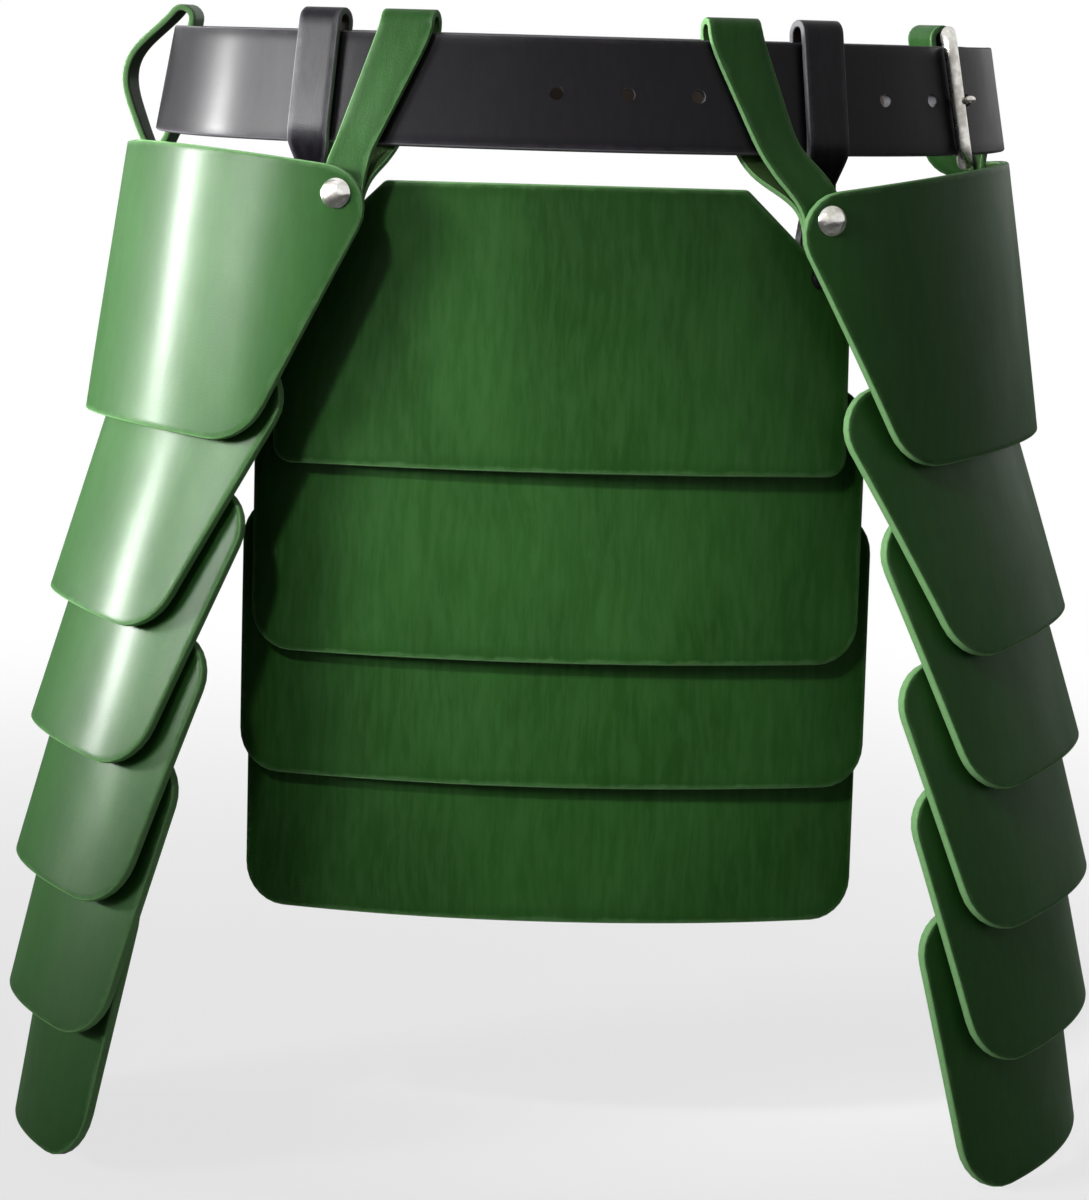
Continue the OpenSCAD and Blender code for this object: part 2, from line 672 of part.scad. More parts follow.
// Black hanger of the front tasset. Below the belt its two legs turn in behind the ear.
turn_z = -edge_z - 9;
turn_y = 5.25 + hanger_t / 2;
ear_down = ear_rivet - 2;
ear_up = ear_rivet + 5;
module black_hanger(side) color(BLACK) difference() {
    end = side == LEFT ? -1 : 1;
    rear_y = turn_y + hanger_t + layer_gap;
    low_w = black_w * 0.6;
    low_az = black_az + 0.6;
    union() {
        side_of(side) at_belt(black_az) bend(black_w);
        link() {
            belt_start(side, black_az, outer_y, bend_z + 0.2, black_w);
            belt_section(side, black_az, outer_y, -edge_z - 0.8, black_w);
        }
        link() {
            belt_start(side, black_az, outer_y, -edge_z - 0.8, black_w);
            belt_section(side, low_az, turn_y, turn_z, low_w);
        }
        link() {
            belt_start(side, low_az, turn_y, turn_z, low_w);
            at_rivet(FRONT, 1, end) pad_top(pad_1, ear_up);
        }
        link() {
            belt_start(side, black_az, inner_y, bend_z + 0.2, black_w);
            belt_section(side, low_az, rear_y, turn_z, low_w);
        }
        link() {
            belt_start(side, low_az, rear_y, turn_z, low_w);
            at_rivet(FRONT, 1, end) pad_top(pad_2, ear_up);
        }
        at_rivet(FRONT, 1, end) pads(ear_down, ear_up);
    }
    at_rivet(FRONT, 1, end) rotate([90, 0, 0]) shank_hole();
}

belt_strap();
buckle_frame();
buckle_prong();
fold_rivets();
front_lame(1);  // front_lame_1
front_lame(2);  // front_lame_2
front_lame(3);  // front_lame_3
front_lame(4);  // front_lame_4
black_hanger(LEFT);  // front_hanger_left
black_hanger(RIGHT);  // front_hanger_right
rivets(FRONT, 1);  // front_rivets_1
rivets(FRONT, 2);  // front_rivets_2
rivets(FRONT, 3);  // front_rivets_3
rivets(FRONT, 4);  // front_rivets_4
leathers(FRONT, 1);  // front_leathers_1
leathers(FRONT, 2);  // front_leathers_2
leathers(FRONT, 3);  // front_leathers_3
lame(LEFT, 1);  // left_lame_1
lame(LEFT, 2);  // left_lame_2
lame(LEFT, 3);  // left_lame_3
lame(LEFT, 4);  // left_lame_4
lame(LEFT, 5);  // left_lame_5
lame(LEFT, 6);  // left_lame_6
green_hanger(LEFT);  // left_green_hanger
rear_hanger(LEFT);  // left_rear_hanger
rivets(LEFT, 1);  // left_rivets_1
rivets(LEFT, 2);  // left_rivets_2
rivets(LEFT, 3);  // left_rivets_3
rivets(LEFT, 4);  // left_rivets_4
rivets(LEFT, 5);  // left_rivets_5
rivets(LEFT, 6);  // left_rivets_6
leathers(LEFT, 1);  // left_leathers_1
leathers(LEFT, 2);  // left_leathers_2
leathers(LEFT, 3);  // left_leathers_3
leathers(LEFT, 4);  // left_leathers_4
leathers(LEFT, 5);  // left_leathers_5
lame(RIGHT, 1);  // right_lame_1
lame(RIGHT, 2);  // right_lame_2
lame(RIGHT, 3);  // right_lame_3
lame(RIGHT, 4);  // right_lame_4
lame(RIGHT, 5);  // right_lame_5
lame(RIGHT, 6);  // right_lame_6
green_hanger(RIGHT);  // right_green_hanger
rear_hanger(RIGHT);  // right_rear_hanger
rivets(RIGHT, 1);  // right_rivets_1
rivets(RIGHT, 2);  // right_rivets_2
rivets(RIGHT, 3);  // right_rivets_3
rivets(RIGHT, 4);  // right_rivets_4
rivets(RIGHT, 5);  // right_rivets_5
rivets(RIGHT, 6);  // right_rivets_6
leathers(RIGHT, 1);  // right_leathers_1
leathers(RIGHT, 2);  // right_leathers_2
leathers(RIGHT, 3);  // right_leathers_3
leathers(RIGHT, 4);  // right_leathers_4
leathers(RIGHT, 5);  // right_leathers_5
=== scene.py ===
"""Looks of the leather armour skirt: a waist belt, a front tasset of four lames and two
side tassets of six lames, hung on riveted leather loops.

Sizes in the classes are millimetres and repeat the named values of the frame's source.
Every finished mesh is in metres, in the frame's own axes: Z up, the front at -Y.
"""
from __future__ import annotations

import json
import logging
import math
from dataclasses import dataclass, field, replace
from enum import Enum
from typing import Callable, Sequence

import bmesh
import bpy
import numpy as np
from mathutils import Matrix, Vector
from mathutils.kdtree import KDTree

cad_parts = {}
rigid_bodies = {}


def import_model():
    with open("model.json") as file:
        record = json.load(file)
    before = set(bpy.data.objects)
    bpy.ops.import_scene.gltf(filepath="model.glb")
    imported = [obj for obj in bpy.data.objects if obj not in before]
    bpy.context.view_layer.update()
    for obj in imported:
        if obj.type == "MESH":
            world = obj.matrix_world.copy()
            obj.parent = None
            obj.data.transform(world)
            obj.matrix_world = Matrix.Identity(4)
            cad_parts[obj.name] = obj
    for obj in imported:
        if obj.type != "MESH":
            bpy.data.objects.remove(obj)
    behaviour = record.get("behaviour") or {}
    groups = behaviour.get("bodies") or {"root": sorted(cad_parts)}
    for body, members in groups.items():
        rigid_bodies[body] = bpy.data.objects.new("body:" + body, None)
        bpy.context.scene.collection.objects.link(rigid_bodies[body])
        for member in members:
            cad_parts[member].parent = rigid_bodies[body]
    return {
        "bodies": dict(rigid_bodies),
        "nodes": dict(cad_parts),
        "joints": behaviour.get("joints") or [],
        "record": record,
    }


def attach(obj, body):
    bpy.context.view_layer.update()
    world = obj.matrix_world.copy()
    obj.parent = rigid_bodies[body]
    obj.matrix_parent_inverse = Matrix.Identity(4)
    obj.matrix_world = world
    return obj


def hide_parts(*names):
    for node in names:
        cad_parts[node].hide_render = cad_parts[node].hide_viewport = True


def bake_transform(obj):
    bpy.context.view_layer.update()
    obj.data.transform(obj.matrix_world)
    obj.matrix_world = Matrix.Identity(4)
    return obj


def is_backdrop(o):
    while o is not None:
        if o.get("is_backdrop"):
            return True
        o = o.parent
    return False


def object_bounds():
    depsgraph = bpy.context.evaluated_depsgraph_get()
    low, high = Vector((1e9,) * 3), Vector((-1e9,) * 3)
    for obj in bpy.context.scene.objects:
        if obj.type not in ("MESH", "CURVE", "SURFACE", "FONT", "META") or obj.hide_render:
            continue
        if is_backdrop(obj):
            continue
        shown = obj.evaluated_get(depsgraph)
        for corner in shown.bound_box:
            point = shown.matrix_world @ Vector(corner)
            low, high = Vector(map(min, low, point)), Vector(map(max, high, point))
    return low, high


LOG = logging.getLogger("armour_skirt")
MM = 0.001
FLOOR_GAP = 0.0006
FAR = 9.0  # a distance from the cut edge at which nothing of it shows
MIRROR = np.diag([-1.0, 1, 1, 1])
Array = np.ndarray
Place = tuple[float, float, float]
Colour = tuple[float, float, float, float]
Socket = bpy.types.NodeSocket
Trees = dict[str, bpy.types.NodeTree]


class Side(Enum):
    """A side of the skirt, as the frame has it."""

    LEFT = "left"
    RIGHT = "right"

    @property
    def index(self) -> int:
        """Place of the side's own value in a pair."""
        return 0 if self is Side.LEFT else 1

    def frame(self, frame: Array) -> Array:
        """A frame of the right side, mirrored to this one."""
        return MIRROR @ frame if self is Side.LEFT else frame


class End(Enum):
    """One of the two rivets of a lame: the front or left one, and the rear or right one."""

    FIRST = -1
    SECOND = 1


# Placing


def shift(x: float, y: float, z: float) -> Array:
    """A move as a 4x4 matrix."""
    made = np.eye(4)
    made[:3, 3] = [x, y, z]
    return made


def turn(axis: str, degrees: float) -> Array:
    """A turn about an axis.

    Args:
        axis: x, y or z.
        degrees: the angle.

    Returns:
        The 4x4 matrix.
    """
    a = math.radians(degrees)
    i, j = {"x": (1, 2), "y": (2, 0), "z": (0, 1)}[axis]
    made = np.eye(4)
    made[i, i] = made[j, j] = math.cos(a)
    made[i, j], made[j, i] = -math.sin(a), math.sin(a)
    return made


def heading(azimuth: float) -> Array:
    """Horizontal direction of an azimuth, measured from -Y towards +X."""
    a = math.radians(azimuth)
    return np.array([math.sin(a), -math.cos(a)])


def spot(frame: Array, x: float, y: float, z: float) -> Array:
    """A point of a frame in the part's own axes."""
    return (frame @ np.array([x, y, z, 1.0]))[:3]


def upright(frame: Array) -> Array:
    """A frame without its mirroring, with the same outward and upward directions."""
    return frame @ MIRROR if np.linalg.det(frame) < 0 else frame


def unit(rows: Array) -> Array:
    """One vector, or a row of them, at length 1."""
    return rows / np.linalg.norm(rows, axis=-1, keepdims=True)


def metres(point: Array) -> Place:
    """A point in millimetres as a tuple in metres."""
    return tuple(float(c) * MM for c in point)


# Meshes


def link(name: str, data: bpy.types.ID) -> bpy.types.Object:
    """Puts a mesh, a lamp or a camera in the scene as an object at the origin."""
    made = bpy.data.objects.new(name, data)
    bpy.context.scene.collection.objects.link(made)
    return made


def shade(mesh: bpy.types.Mesh, sharp: float = 50.0) -> None:
    """Shades a mesh smooth, up to edges of more than an angle in degrees."""
    mesh.polygons.foreach_set("use_smooth", [True] * len(mesh.polygons))
    mesh.set_sharp_from_angle(angle=math.radians(sharp))


def face_outwards(mesh: bpy.types.Mesh) -> None:
    """Turns the faces of a closed mesh the right way out.

    Args:
        mesh: the mesh, which may be inside out or mixed.
    """
    work = bmesh.new()
    work.from_mesh(mesh)
    bmesh.ops.recalc_face_normals(work, faces=work.faces)
    if work.calc_volume(signed=True) < 0:
        bmesh.ops.reverse_faces(work, faces=work.faces)
    work.to_mesh(mesh)
    work.free()


@dataclass
class Shell:
    """Points, faces and point attributes of a mesh that is being made, in millimetres."""

    points: list[Array] = field(default_factory=list)
    faces: list[Sequence[int]] = field(default_factory=list)
    marks: dict[str, list[float]] = field(
        default_factory=lambda: {"cut": [], "edge": [], "back": []})
    count: int = 0

    def add(self, points: Array, cut: Array | float = 0.0, edge: Array | float = FAR,
            back: Array | float = 0.0) -> Array:
        """Adds points with their attributes.

        Args:
            points: n x 3 places in millimetres.
            cut: 1 on a raw cut edge, 0 on a face.
            edge: distance from the outline in millimetres.
            back: 1 on the rough inner side.

        Returns:
            The numbers of the new points.
        """
        n = len(points)
        self.points.append(np.asarray(points, float))
        for store, values in zip(self.marks.values(), (cut, edge, back)):
            store.extend(np.broadcast_to(values, n).astype(float).tolist())
        self.count += n
        return np.arange(self.count - n, self.count)

    def face(self, numbers: Sequence[int]) -> None:
        """Adds a face through points."""
        self.faces.append([int(i) for i in numbers])

    def bridge(self, one: Array, two: Array, closed: bool = True) -> None:
        """Joins two rows of points with quads.

        Args:
            one: numbers of the first row's points.
            two: numbers of as many points in the second row.
            closed: whether each row is a loop.
        """
        n = len(one)
        for i in range(n if closed else n - 1):
            j = (i + 1) % n
            self.face((one[i], one[j], two[j], two[i]))

    def build(self, name: str, seed: float = 0.0) -> bpy.types.Object:
        """Makes the object, with faces outwards and its attributes.

        Args:
            name: name of the piece.
            seed: value of the seed attribute, which shifts the leather's pattern.

        Returns:
            The linked object.
        """
        mesh = bpy.data.meshes.new(name)
        mesh.from_pydata((np.vstack(self.points) * MM).tolist(), [], self.faces)
        face_outwards(mesh)
        shade(mesh)
        for key, numbers in {**self.marks, "seed": [seed] * self.count}.items():
            mesh.attributes.new(key, "FLOAT", "POINT").data.foreach_set("value", numbers)
        return link(name, mesh)


def rounded_side(corners: Sequence[tuple[float, float]], radii: Sequence[float],
                 steps: int = 7, straight: int = 9) -> Array:
    """One side of a lame's outline, from its bottom edge round to its top edge.

    Args:
        corners: points on the bottom edge, at each corner and on the top edge.
        radii: radius of each corner between the first and last points.
        steps: parts of each rounded corner.
        straight: parts of each straight stretch between two corners.

    Returns:
        Points as arc and height, in millimetres.
    """
    p = [np.array(c, float) for c in corners]
    made: list[Array] = []
    for i, radius in enumerate(radii, start=1):
        u, v = unit(p[i - 1] - p[i]), unit(p[i + 1] - p[i])
        half = math.acos(float(np.clip(u @ v, -1, 1))) / 2
        centre = p[i] + radius / math.sin(half) * unit(u + v)
        start, stop = (p[i] + radius / math.tan(half) * way for way in (u, v))
        if made:
            before = made[-1]
            made += [before + (start - before) * t / straight for t in range(1, straight)]
        a0, a1 = (math.atan2(*(q - centre)[::-1]) for q in (start, stop))
        sweep = (a1 - a0 + math.pi) % (2 * math.pi) - math.pi
        made += [centre + radius * np.array([math.cos(a), math.sin(a)])
                 for a in a0 + sweep * np.linspace(0, 1, steps + 1)]
    return np.array(made)


@dataclass
class Plate:
    """A bent leather plate: a grid on both faces and a rounded cut edge all round.

    Its frame has the axis of the bend as Z and the outer face at -Y, its bottom edge at 0.
    Its first and second sides are outlines as rounded_side gives them.
    """

    frame: Array
    radius: float
    thick: float
    first: Array
    second: Array
    seed: float
    columns: int = 26
    warp: float = 0.3
    long_wave: tuple[float, float] = (37, 41)
    short_wave: tuple[float, float] = (19, 27)
    bevel: float = 0.95
    rim: float = 1.3
    rim_edge: float = 2.0

    def loop(self) -> Array:
        """The outline, anticlockwise from the bottom of the first side."""
        s = np.linspace(0, 1, self.columns + 1)[:, None]
        low = self.first[0] + (self.second[0] - self.first[0]) * s
        top = self.second[-1] + (self.first[-1] - self.second[-1]) * s
        return np.vstack([low, self.second[1:-1], top, self.first[-2:0:-1]])

    def place(self, flat: Array, depth: float) -> Array:
        """Bends flat points round the plate's axis, with a slow warp of its own.

        Args:
            flat: n x 2 points, as arc and height in millimetres.
            depth: distance behind the outer face.

        Returns:
            n x 3 points in the part's own axes.
        """
        (arc, high), (a, b), (c, d) = flat.T, self.long_wave, self.short_wave
        ripple = (np.sin(arc / a + 2.1 * self.seed) * np.cos(high / b + 1.3 * self.seed)
                  + 0.5 * np.sin(arc / c - high / d + 3.7 * self.seed))
        radius = self.radius - depth + self.warp * ripple
        angle = arc / self.radius
        local = np.c_[radius * np.sin(angle), -radius * np.cos(angle), high, np.ones(len(flat))]
        return (local @ self.frame.T)[:, :3]

    def build(self, name: str) -> bpy.types.Object:
        """Makes the plate's closed mesh.

        Args:
            name: name of the piece.

        Returns:
            The linked object.
        """
        loop, b, t = self.loop(), self.bevel, self.thick
        along = unit(unit(np.roll(loop, -1, 0) - loop) + unit(loop - np.roll(loop, 1, 0)))
        inward = np.c_[-along[:, 1], along[:, 0]]
        rim = [(b + self.rim, 0.0, 0.0)]
        rim += [(b * (1 - math.sin(a)), b * (1 - math.cos(a)), a / math.pi * 2)
                for a in np.radians([0, 30, 60, 90])]
        rim += [(inset, t - depth, cut) for inset, depth, cut in reversed(rim)]
        shell = Shell()
        rows = [shell.add(self.place(loop + inset * inward, depth), cut, inset, depth / t)
                for inset, depth, cut in rim]
        for one, two in zip(rows, rows[1:]):
            shell.bridge(one, two)
        for row, depth in ((rows[0], 0.0), (rows[-1], t)):
            self.fill(shell, loop + rim[0][0] * inward, row, depth)
        return shell.build(name, self.seed)

    def fill(self, shell: Shell, flat: Array, row: Array, depth: float) -> None:
        """Fills one face between its sides with rows of quads.

        Args:
            shell: the mesh that is being made.
            flat: the face's boundary as arc and height.
            row: numbers of the boundary's points.
            depth: distance of the face behind the outer one.
        """
        n, m = self.columns, len(self.second)
        right = [n + j for j in range(m)]
        left = [0, *(len(flat) - j for j in range(1, m - 1)), 2 * n + m - 1]
        grid = np.zeros((m, n + 1), int)
        grid[0], grid[-1] = row[: n + 1], row[n + m - 1: 2 * n + m][::-1]
        s = np.linspace(0, 1, n + 1)[1:-1, None]
        for j in range(1, m - 1):
            inner = flat[left[j]] + (flat[right[j]] - flat[left[j]]) * s
            near = np.sqrt(((inner[:, None] - flat[None]) ** 2).sum(2)).min(1)
            made = shell.add(self.place(inner, depth), 0.0, near + self.rim_edge,
                             depth / self.thick)
            grid[j] = [row[left[j]], *made, row[right[j]]]
        for one, two in zip(grid, grid[1:]):
            shell.bridge(one, two, closed=False)


@dataclass
class Station:
    """A cross-section of a strap.

    It has a centre, the way across it, its outer face, half its width, how far smoothing
    may move it, from 0 to 1, and its thickness, or 0 for the strap's own.
    """

    centre: Array
    across: Array
    outer: Array
    half: float
    soft: float = 1.0
    thick: float = 0.0


def station(frame: Array, place: Place, half: float, lean: float = 0.0,
            soft: float = 1.0) -> Station:
    """A cross-section in a frame that has X across the strap and -Y outwards.

    Args:
        frame: 4x4 matrix in millimetres.
        place: centre of the section in the frame.
        half: half the strap's width.
        lean: turn of the outer face from -Y, up over +Z, towards +Y, in degrees.
        soft: how far smoothing may move it, from 0 to 1.

    Returns:
        The station in the part's own axes.
    """
    a = math.radians(lean)
    outer = frame[:3, :3] @ np.array([0, -math.cos(a), math.sin(a)])
    return Station(spot(frame, *place), frame[:3, 0], outer, half, soft)


@dataclass
class Strap:
    """A strip of leather that runs through its stations, with rounded cut edges."""

    stations: list[Station]
    thick: float
    step: float = 2.2
    passes: int = 8
    bevel: float = 0.5
    across_parts: int = 6
    side_points: int = 6
    corner_cut: float = 0.6
    ease: float = 0.9

    def sampled(self) -> tuple[Array, Array, Array, Array, Array]:
        """Stations at even steps, smoothed where they are soft.

        Returns:
            Their centres, ways across, outward directions, half widths and thicknesses.
        """
        knots = [np.r_[q.centre, q.across, q.outer, q.half, q.soft, q.thick or self.thick]
                 for q in self.stations]
        rows: list[Array] = []
        for one, two in zip(knots, knots[1:]):
            n = max(1, round(float(np.linalg.norm(two[:3] - one[:3])) / self.step))
            rows += [one + (two - one) * i / n for i in range(n)]
        data = np.array([*rows, knots[-1]])
        data[[0, -1], 10] = 0
        for _ in range(self.passes):
            mean = (data[:-2, :9] + data[2:, :9]) / 2
            data[1:-1, :9] += (mean - data[1:-1, :9]) * data[1:-1, 10:11] * self.ease
        centre, across, outer = data[:, :3], data[:, 3:6], data[:, 6:9]
        along = unit(np.gradient(centre, axis=0))
        across = unit(across - (across * along).sum(1)[:, None] * along)
        normal = np.cross(along, across)
        normal *= np.sign((normal * outer).sum(1))[:, None]
        return centre, across, normal, data[:, 9], data[:, 11]

    def ring(self, half: float, thick: float) -> tuple[Array, Array, Array, Array]:
        """Outline of a cross-section, outer face first.

        Args:
            half: half its width.
            thick: its thickness.

        Returns:
            Its points, and their cut, edge and back attributes.
        """
        b, h = min(self.bevel, thick / 2 - 0.05), thick / 2
        quarter = np.radians([30, 60])
        rows = [(x, h, 0.0) for x in np.linspace(b - half, half - b, self.across_parts + 1)]
        rows += [(half - b + b * math.sin(a), h - b + b * math.cos(a), self.corner_cut)
                 for a in quarter]
        rows += [(half, h - b, 1.0), (half, b - h, 1.0)]
        rows += [(half - b + b * math.cos(a), b - h - b * math.sin(a), self.corner_cut)
                 for a in quarter]
        x, y, cut = np.array(rows + [(-x, -y, cut) for x, y, cut in rows]).T
        return np.c_[x, y], cut, half - np.abs(x), (y < 0) * 1.0

    def shell(self, shell: Shell | None = None) -> Shell:
        """Adds the strip's closed mesh to a shell.

        Args:
            shell: mesh to add to, or None for a new one.

        Returns:
            The mesh that is being made.
        """
        shell = shell or Shell()
        loops = []
        for centre, across, normal, half, thick in zip(*self.sampled()):
            flat, *marks = self.ring(float(half), float(thick))
            loops.append(shell.add(centre + flat[:, :1] * across + flat[:, 1:] * normal, *marks))
        for one, two in zip(loops, loops[1:]):
            shell.bridge(one, two)
        n, s = self.across_parts + 1, self.side_points
        for loop in (loops[0], loops[-1]):
            shell.bridge(loop[:n], loop[n + s: 2 * n + s][::-1], closed=False)
            shell.face(loop[n - 1: n + s + 1])
            shell.face([*loop[2 * n + s - 1:], loop[0]])
        return shell


def wire_shell(points: Array, radii: Array, up: Array, closed: bool, sides: int,
               flat: float = 1.0, shell: Shell | None = None) -> Shell:
    """A round wire along a path in a plane, with its ends closed.

    Args:
        points: n x 3 path in millimetres.
        radii: radius at each point.
        up: direction square to the path's plane.
        closed: whether the path is a loop.
        sides: faces round the wire.
        flat: width of the wire in the path's plane as a share of its height.
        shell: mesh to add to, or None for a new one.

    Returns:
        The mesh that is being made.
    """
    shell = shell or Shell()
    along = np.roll(points, -1, 0) - np.roll(points, 1, 0)
    along = unit(along if closed else np.gradient(points, axis=0))
    side = unit(np.cross(along, up))
    angle = np.linspace(0, 2 * math.pi, sides, endpoint=False)
    x, y = np.cos(angle), np.sin(angle)
    loops = [shell.add(p + r * (np.outer(x, s) * flat + np.outer(y, o)))
             for p, r, s, o in zip(points, radii, side, np.cross(side, along))]
    for one, two in zip(loops, loops[1:] + ([loops[0]] if closed else [])):
        shell.bridge(one, two)
    if not closed:
        shell.face(loops[0])
        shell.face(loops[-1])
    return shell


def lathe(profile: Sequence[tuple[float, float]], dent: Callable[[float, float], float],
          sides: int = 28) -> Shell:
    """A turned solid on the Z axis.

    Args:
        profile: radius and height pairs from one pole to the other, both poles at radius 0.
        dent: share that the radius loses at an angle and a height.
        sides: faces round it.

    Returns:
        The mesh that is being made.
    """
    shell = Shell()
    angle = np.linspace(0, 2 * math.pi, sides, endpoint=False)
    loops = []
    for radius, high in profile[1:-1]:
        r = np.array([radius * (1 - dent(a, high)) for a in angle])
        loops.append(shell.add(np.c_[r * np.cos(angle), r * np.sin(angle), np.full(sides, high)]))
    for one, two in zip(loops, loops[1:]):
        shell.bridge(one, two)
    for (_, high), loop in ((profile[0], loops[0]), (profile[-1], loops[-1])):
        tip = shell.add(np.array([[0, 0, high]]))[0]
        for one, two in zip(loop, np.roll(loop, -1)):
            shell.face((tip, one, two))
    return shell


# Node trees


class Graph:
    """Builds a node tree, with inputs set or linked by their names."""

    def __init__(self, tree: bpy.types.NodeTree) -> None:
        """Starts on an empty or a new tree, with no inputs given to it yet."""
        self.tree = tree
        self.given: bpy.types.NodeOutputs | None = None

    @classmethod
    def group(cls, name: str, kind: str, inputs: dict[str, object]) -> Graph:
        """A node group with named inputs.

        Args:
            name: the group's name.
            kind: its tree type.
            inputs: a number for each float input, or the socket's kind.

        Returns:
            The group's graph, with the sockets of its input node as given.
        """
        graph = cls(bpy.data.node_groups.new(name, kind))
        for label, value in inputs.items():
            what = value if isinstance(value, str) else "Float"
            made = graph.tree.interface.new_socket(label, in_out="INPUT",
                                                   socket_type=f"NodeSocket{what}")
            if not isinstance(value, str):
                made.default_value = value
        graph.given = graph.add("NodeGroupInput").outputs
        return graph

    def finish(self, outputs: dict[str, Socket], kind: str = "Float") -> bpy.types.NodeTree:
        """Ends a group.

        Args:
            outputs: what each named output gives.
            kind: the kind of their sockets.

        Returns:
            The group's tree.
        """
        for label in outputs:
            self.tree.interface.new_socket(label, in_out="OUTPUT", socket_type=f"NodeSocket{kind}")
        self.add("NodeGroupOutput", outputs)
        return self.tree

    def feed(self, node: bpy.types.Node, inputs: dict) -> bpy.types.Node:
        """Sets or links inputs of a node.

        Args:
            node: the node.
            inputs: a value or an output socket for each input, by name or by number.

        Returns:
            The node.
        """
        for key, value in inputs.items():
            if isinstance(value, Socket):
                self.tree.links.new(value, node.inputs[key])
            else:
                node.inputs[key].default_value = value
        return node

    def add(self, kind: str, inputs: dict | None = None, **settings: object) -> bpy.types.Node:
        """Adds a node.

        Args:
            kind: the node's type name.
            inputs: a value or an output socket for each input, by name or by number.
            settings: properties of the node.

        Returns:
            The node.
        """
        node = self.tree.nodes.new(kind)
        for key, value in settings.items():
            setattr(node, key, value)
        return self.feed(node, inputs or {})

    def mix(self, share: object, one: object, two: object) -> Socket:
        """Mixes two colours."""
        return self.add("ShaderNodeMix", {0: share, 6: one, 7: two}, data_type="RGBA",
                        clamp_factor=True).outputs[2]

    def maths(self, kind: str, one: object, two: object, clamp: bool = False) -> Socket:
        """A sum on two values."""
        return self.add("ShaderNodeMath", {0: one, 1: two}, operation=kind,
                        use_clamp=clamp).outputs[0]

    def times(self, one: object, two: object) -> Socket:
        """The product of two values."""
        return self.maths("MULTIPLY", one, two)

    def vector(self, kind: str, one: object, two: object) -> Socket:
        """A sum on two vectors, or on a vector and a value where it is scaled."""
        second = "Scale" if kind == "SCALE" else 1
        return self.add("ShaderNodeVectorMath", {0: one, second: two}, operation=kind).outputs[0]

    def ramp(self, value: object, low: float, high: float, to_low: float = 0.0,
             to_high: float = 1.0) -> Socket:
        """Maps a stretch of values smoothly onto another."""
        stretch = {"From Min": low, "From Max": high, "To Min": to_low, "To Max": to_high}
        return self.add("ShaderNodeMapRange", {"Value": value, **stretch},
                        interpolation_type="SMOOTHSTEP").outputs[0]

    def noise(self, vector: object, scale: object, detail: float = 3.0,
              rough: float = 0.55) -> Socket:
        """A noise value at a scale in cycles per metre."""
        return self.add("ShaderNodeTexNoise", {"Vector": vector, "Scale": scale, "Detail": detail,
                                               "Roughness": rough}).outputs["Fac"]

    def copies(self, dots: object, item: object, size: object = (1.0, 1.0, 1.0)) -> Socket:
        """Sets a copy of a shape on every point, turned as the point's turn says.

        Args:
            dots: mesh that has the points.
            item: the shape.
            size: its scale.

        Returns:
            The copies as one plain mesh.
        """
        way = self.add("GeometryNodeInputNamedAttribute", {"Name": "turn"},
                       data_type="FLOAT_VECTOR").outputs["Attribute"]
        points = self.add("GeometryNodeMeshToPoints", {"Mesh": dots}).outputs[0]
        rotation = self.add("FunctionNodeEulerToRotation", {"Euler": way}).outputs[0]
        rows = self.add("GeometryNodeInstanceOnPoints", {"Points": points, "Instance": item,
                                                         "Rotation": rotation, "Scale": size})
        return self.add("GeometryNodeRealizeInstances", {"Geometry": rows.outputs[0]}).outputs[0]

    def shape_of(self, item: Socket) -> Socket:
        """The shape of an object."""
        return self.add("GeometryNodeObjectInfo", {"Object": item}).outputs["Geometry"]

    def dressed(self, shape: Socket) -> bpy.types.NodeTree:
        """Ends a geometry tree with its shape in the given finish."""
        last = self.add("GeometryNodeSetMaterial", {"Geometry": shape,
                                                    "Material": self.given["Finish"]})
        return self.finish({"Geometry": last.outputs[0]}, "Geometry")


def rivet_tree() -> bpy.types.NodeTree:
    """Sets a rivet on every point, turned as the point says."""
    g = Graph.group("Rivet Row", "GeometryNodeTree", {
        "Points": "Geometry", "Rivet": "Object", "Size": 1.0, "Finish": "Material"})
    return g.dressed(g.copies(g.given["Points"], g.shape_of(g.given["Rivet"]), g.given["Size"]))


def hole_tree() -> bpy.types.NodeTree:
    """Punches a round hole at every point of an object, and a slot, through a strap.

    Returns:
        The geometry tree.
    """
    g = Graph.group("Punched Holes", "GeometryNodeTree", {
        "Strap": "Geometry", "Points": "Object", "Slot": "Object", "Hole Radius": 0.0024,
        "Hole Depth": 0.009, "Finish": "Material"})
    punch = g.add("GeometryNodeMeshCylinder", {
        "Vertices": 28, "Radius": g.given["Hole Radius"],
        "Depth": g.given["Hole Depth"]}).outputs["Mesh"]
    tools = g.add("GeometryNodeJoinGeometry")
    for tool in (g.copies(g.shape_of(g.given["Points"]), punch), g.shape_of(g.given["Slot"])):
        g.feed(tools, {0: tool})
    cut = g.add("GeometryNodeMeshBoolean", {"Mesh 1": g.given["Strap"],
                                            "Mesh 2": tools.outputs[0]},
                operation="DIFFERENCE", solver="EXACT")
    return g.dressed(cut.outputs[0])


def grown(piece: bpy.types.Object, tree: bpy.types.NodeTree, values: dict[str, object]) -> None:
    """Runs a geometry tree on a piece and keeps the result as its plain mesh.

    Args:
        piece: object whose mesh the tree starts from.
        tree: the geometry tree.
        values: a value for each named input.
    """
    modifier = piece.modifiers.new("tree", "NODES")
    modifier.node_group = tree
    names = {s.name: s.identifier for s in tree.interface.items_tree if s.in_out == "INPUT"}
    for key, value in values.items():
        modifier[names[key]] = value
    bpy.context.view_layer.update()
    graph = bpy.context.evaluated_depsgraph_get()
    mesh = bpy.data.meshes.new_from_object(piece.evaluated_get(graph))
    piece.modifiers.clear()
    piece.data = mesh
    mesh.name = piece.name


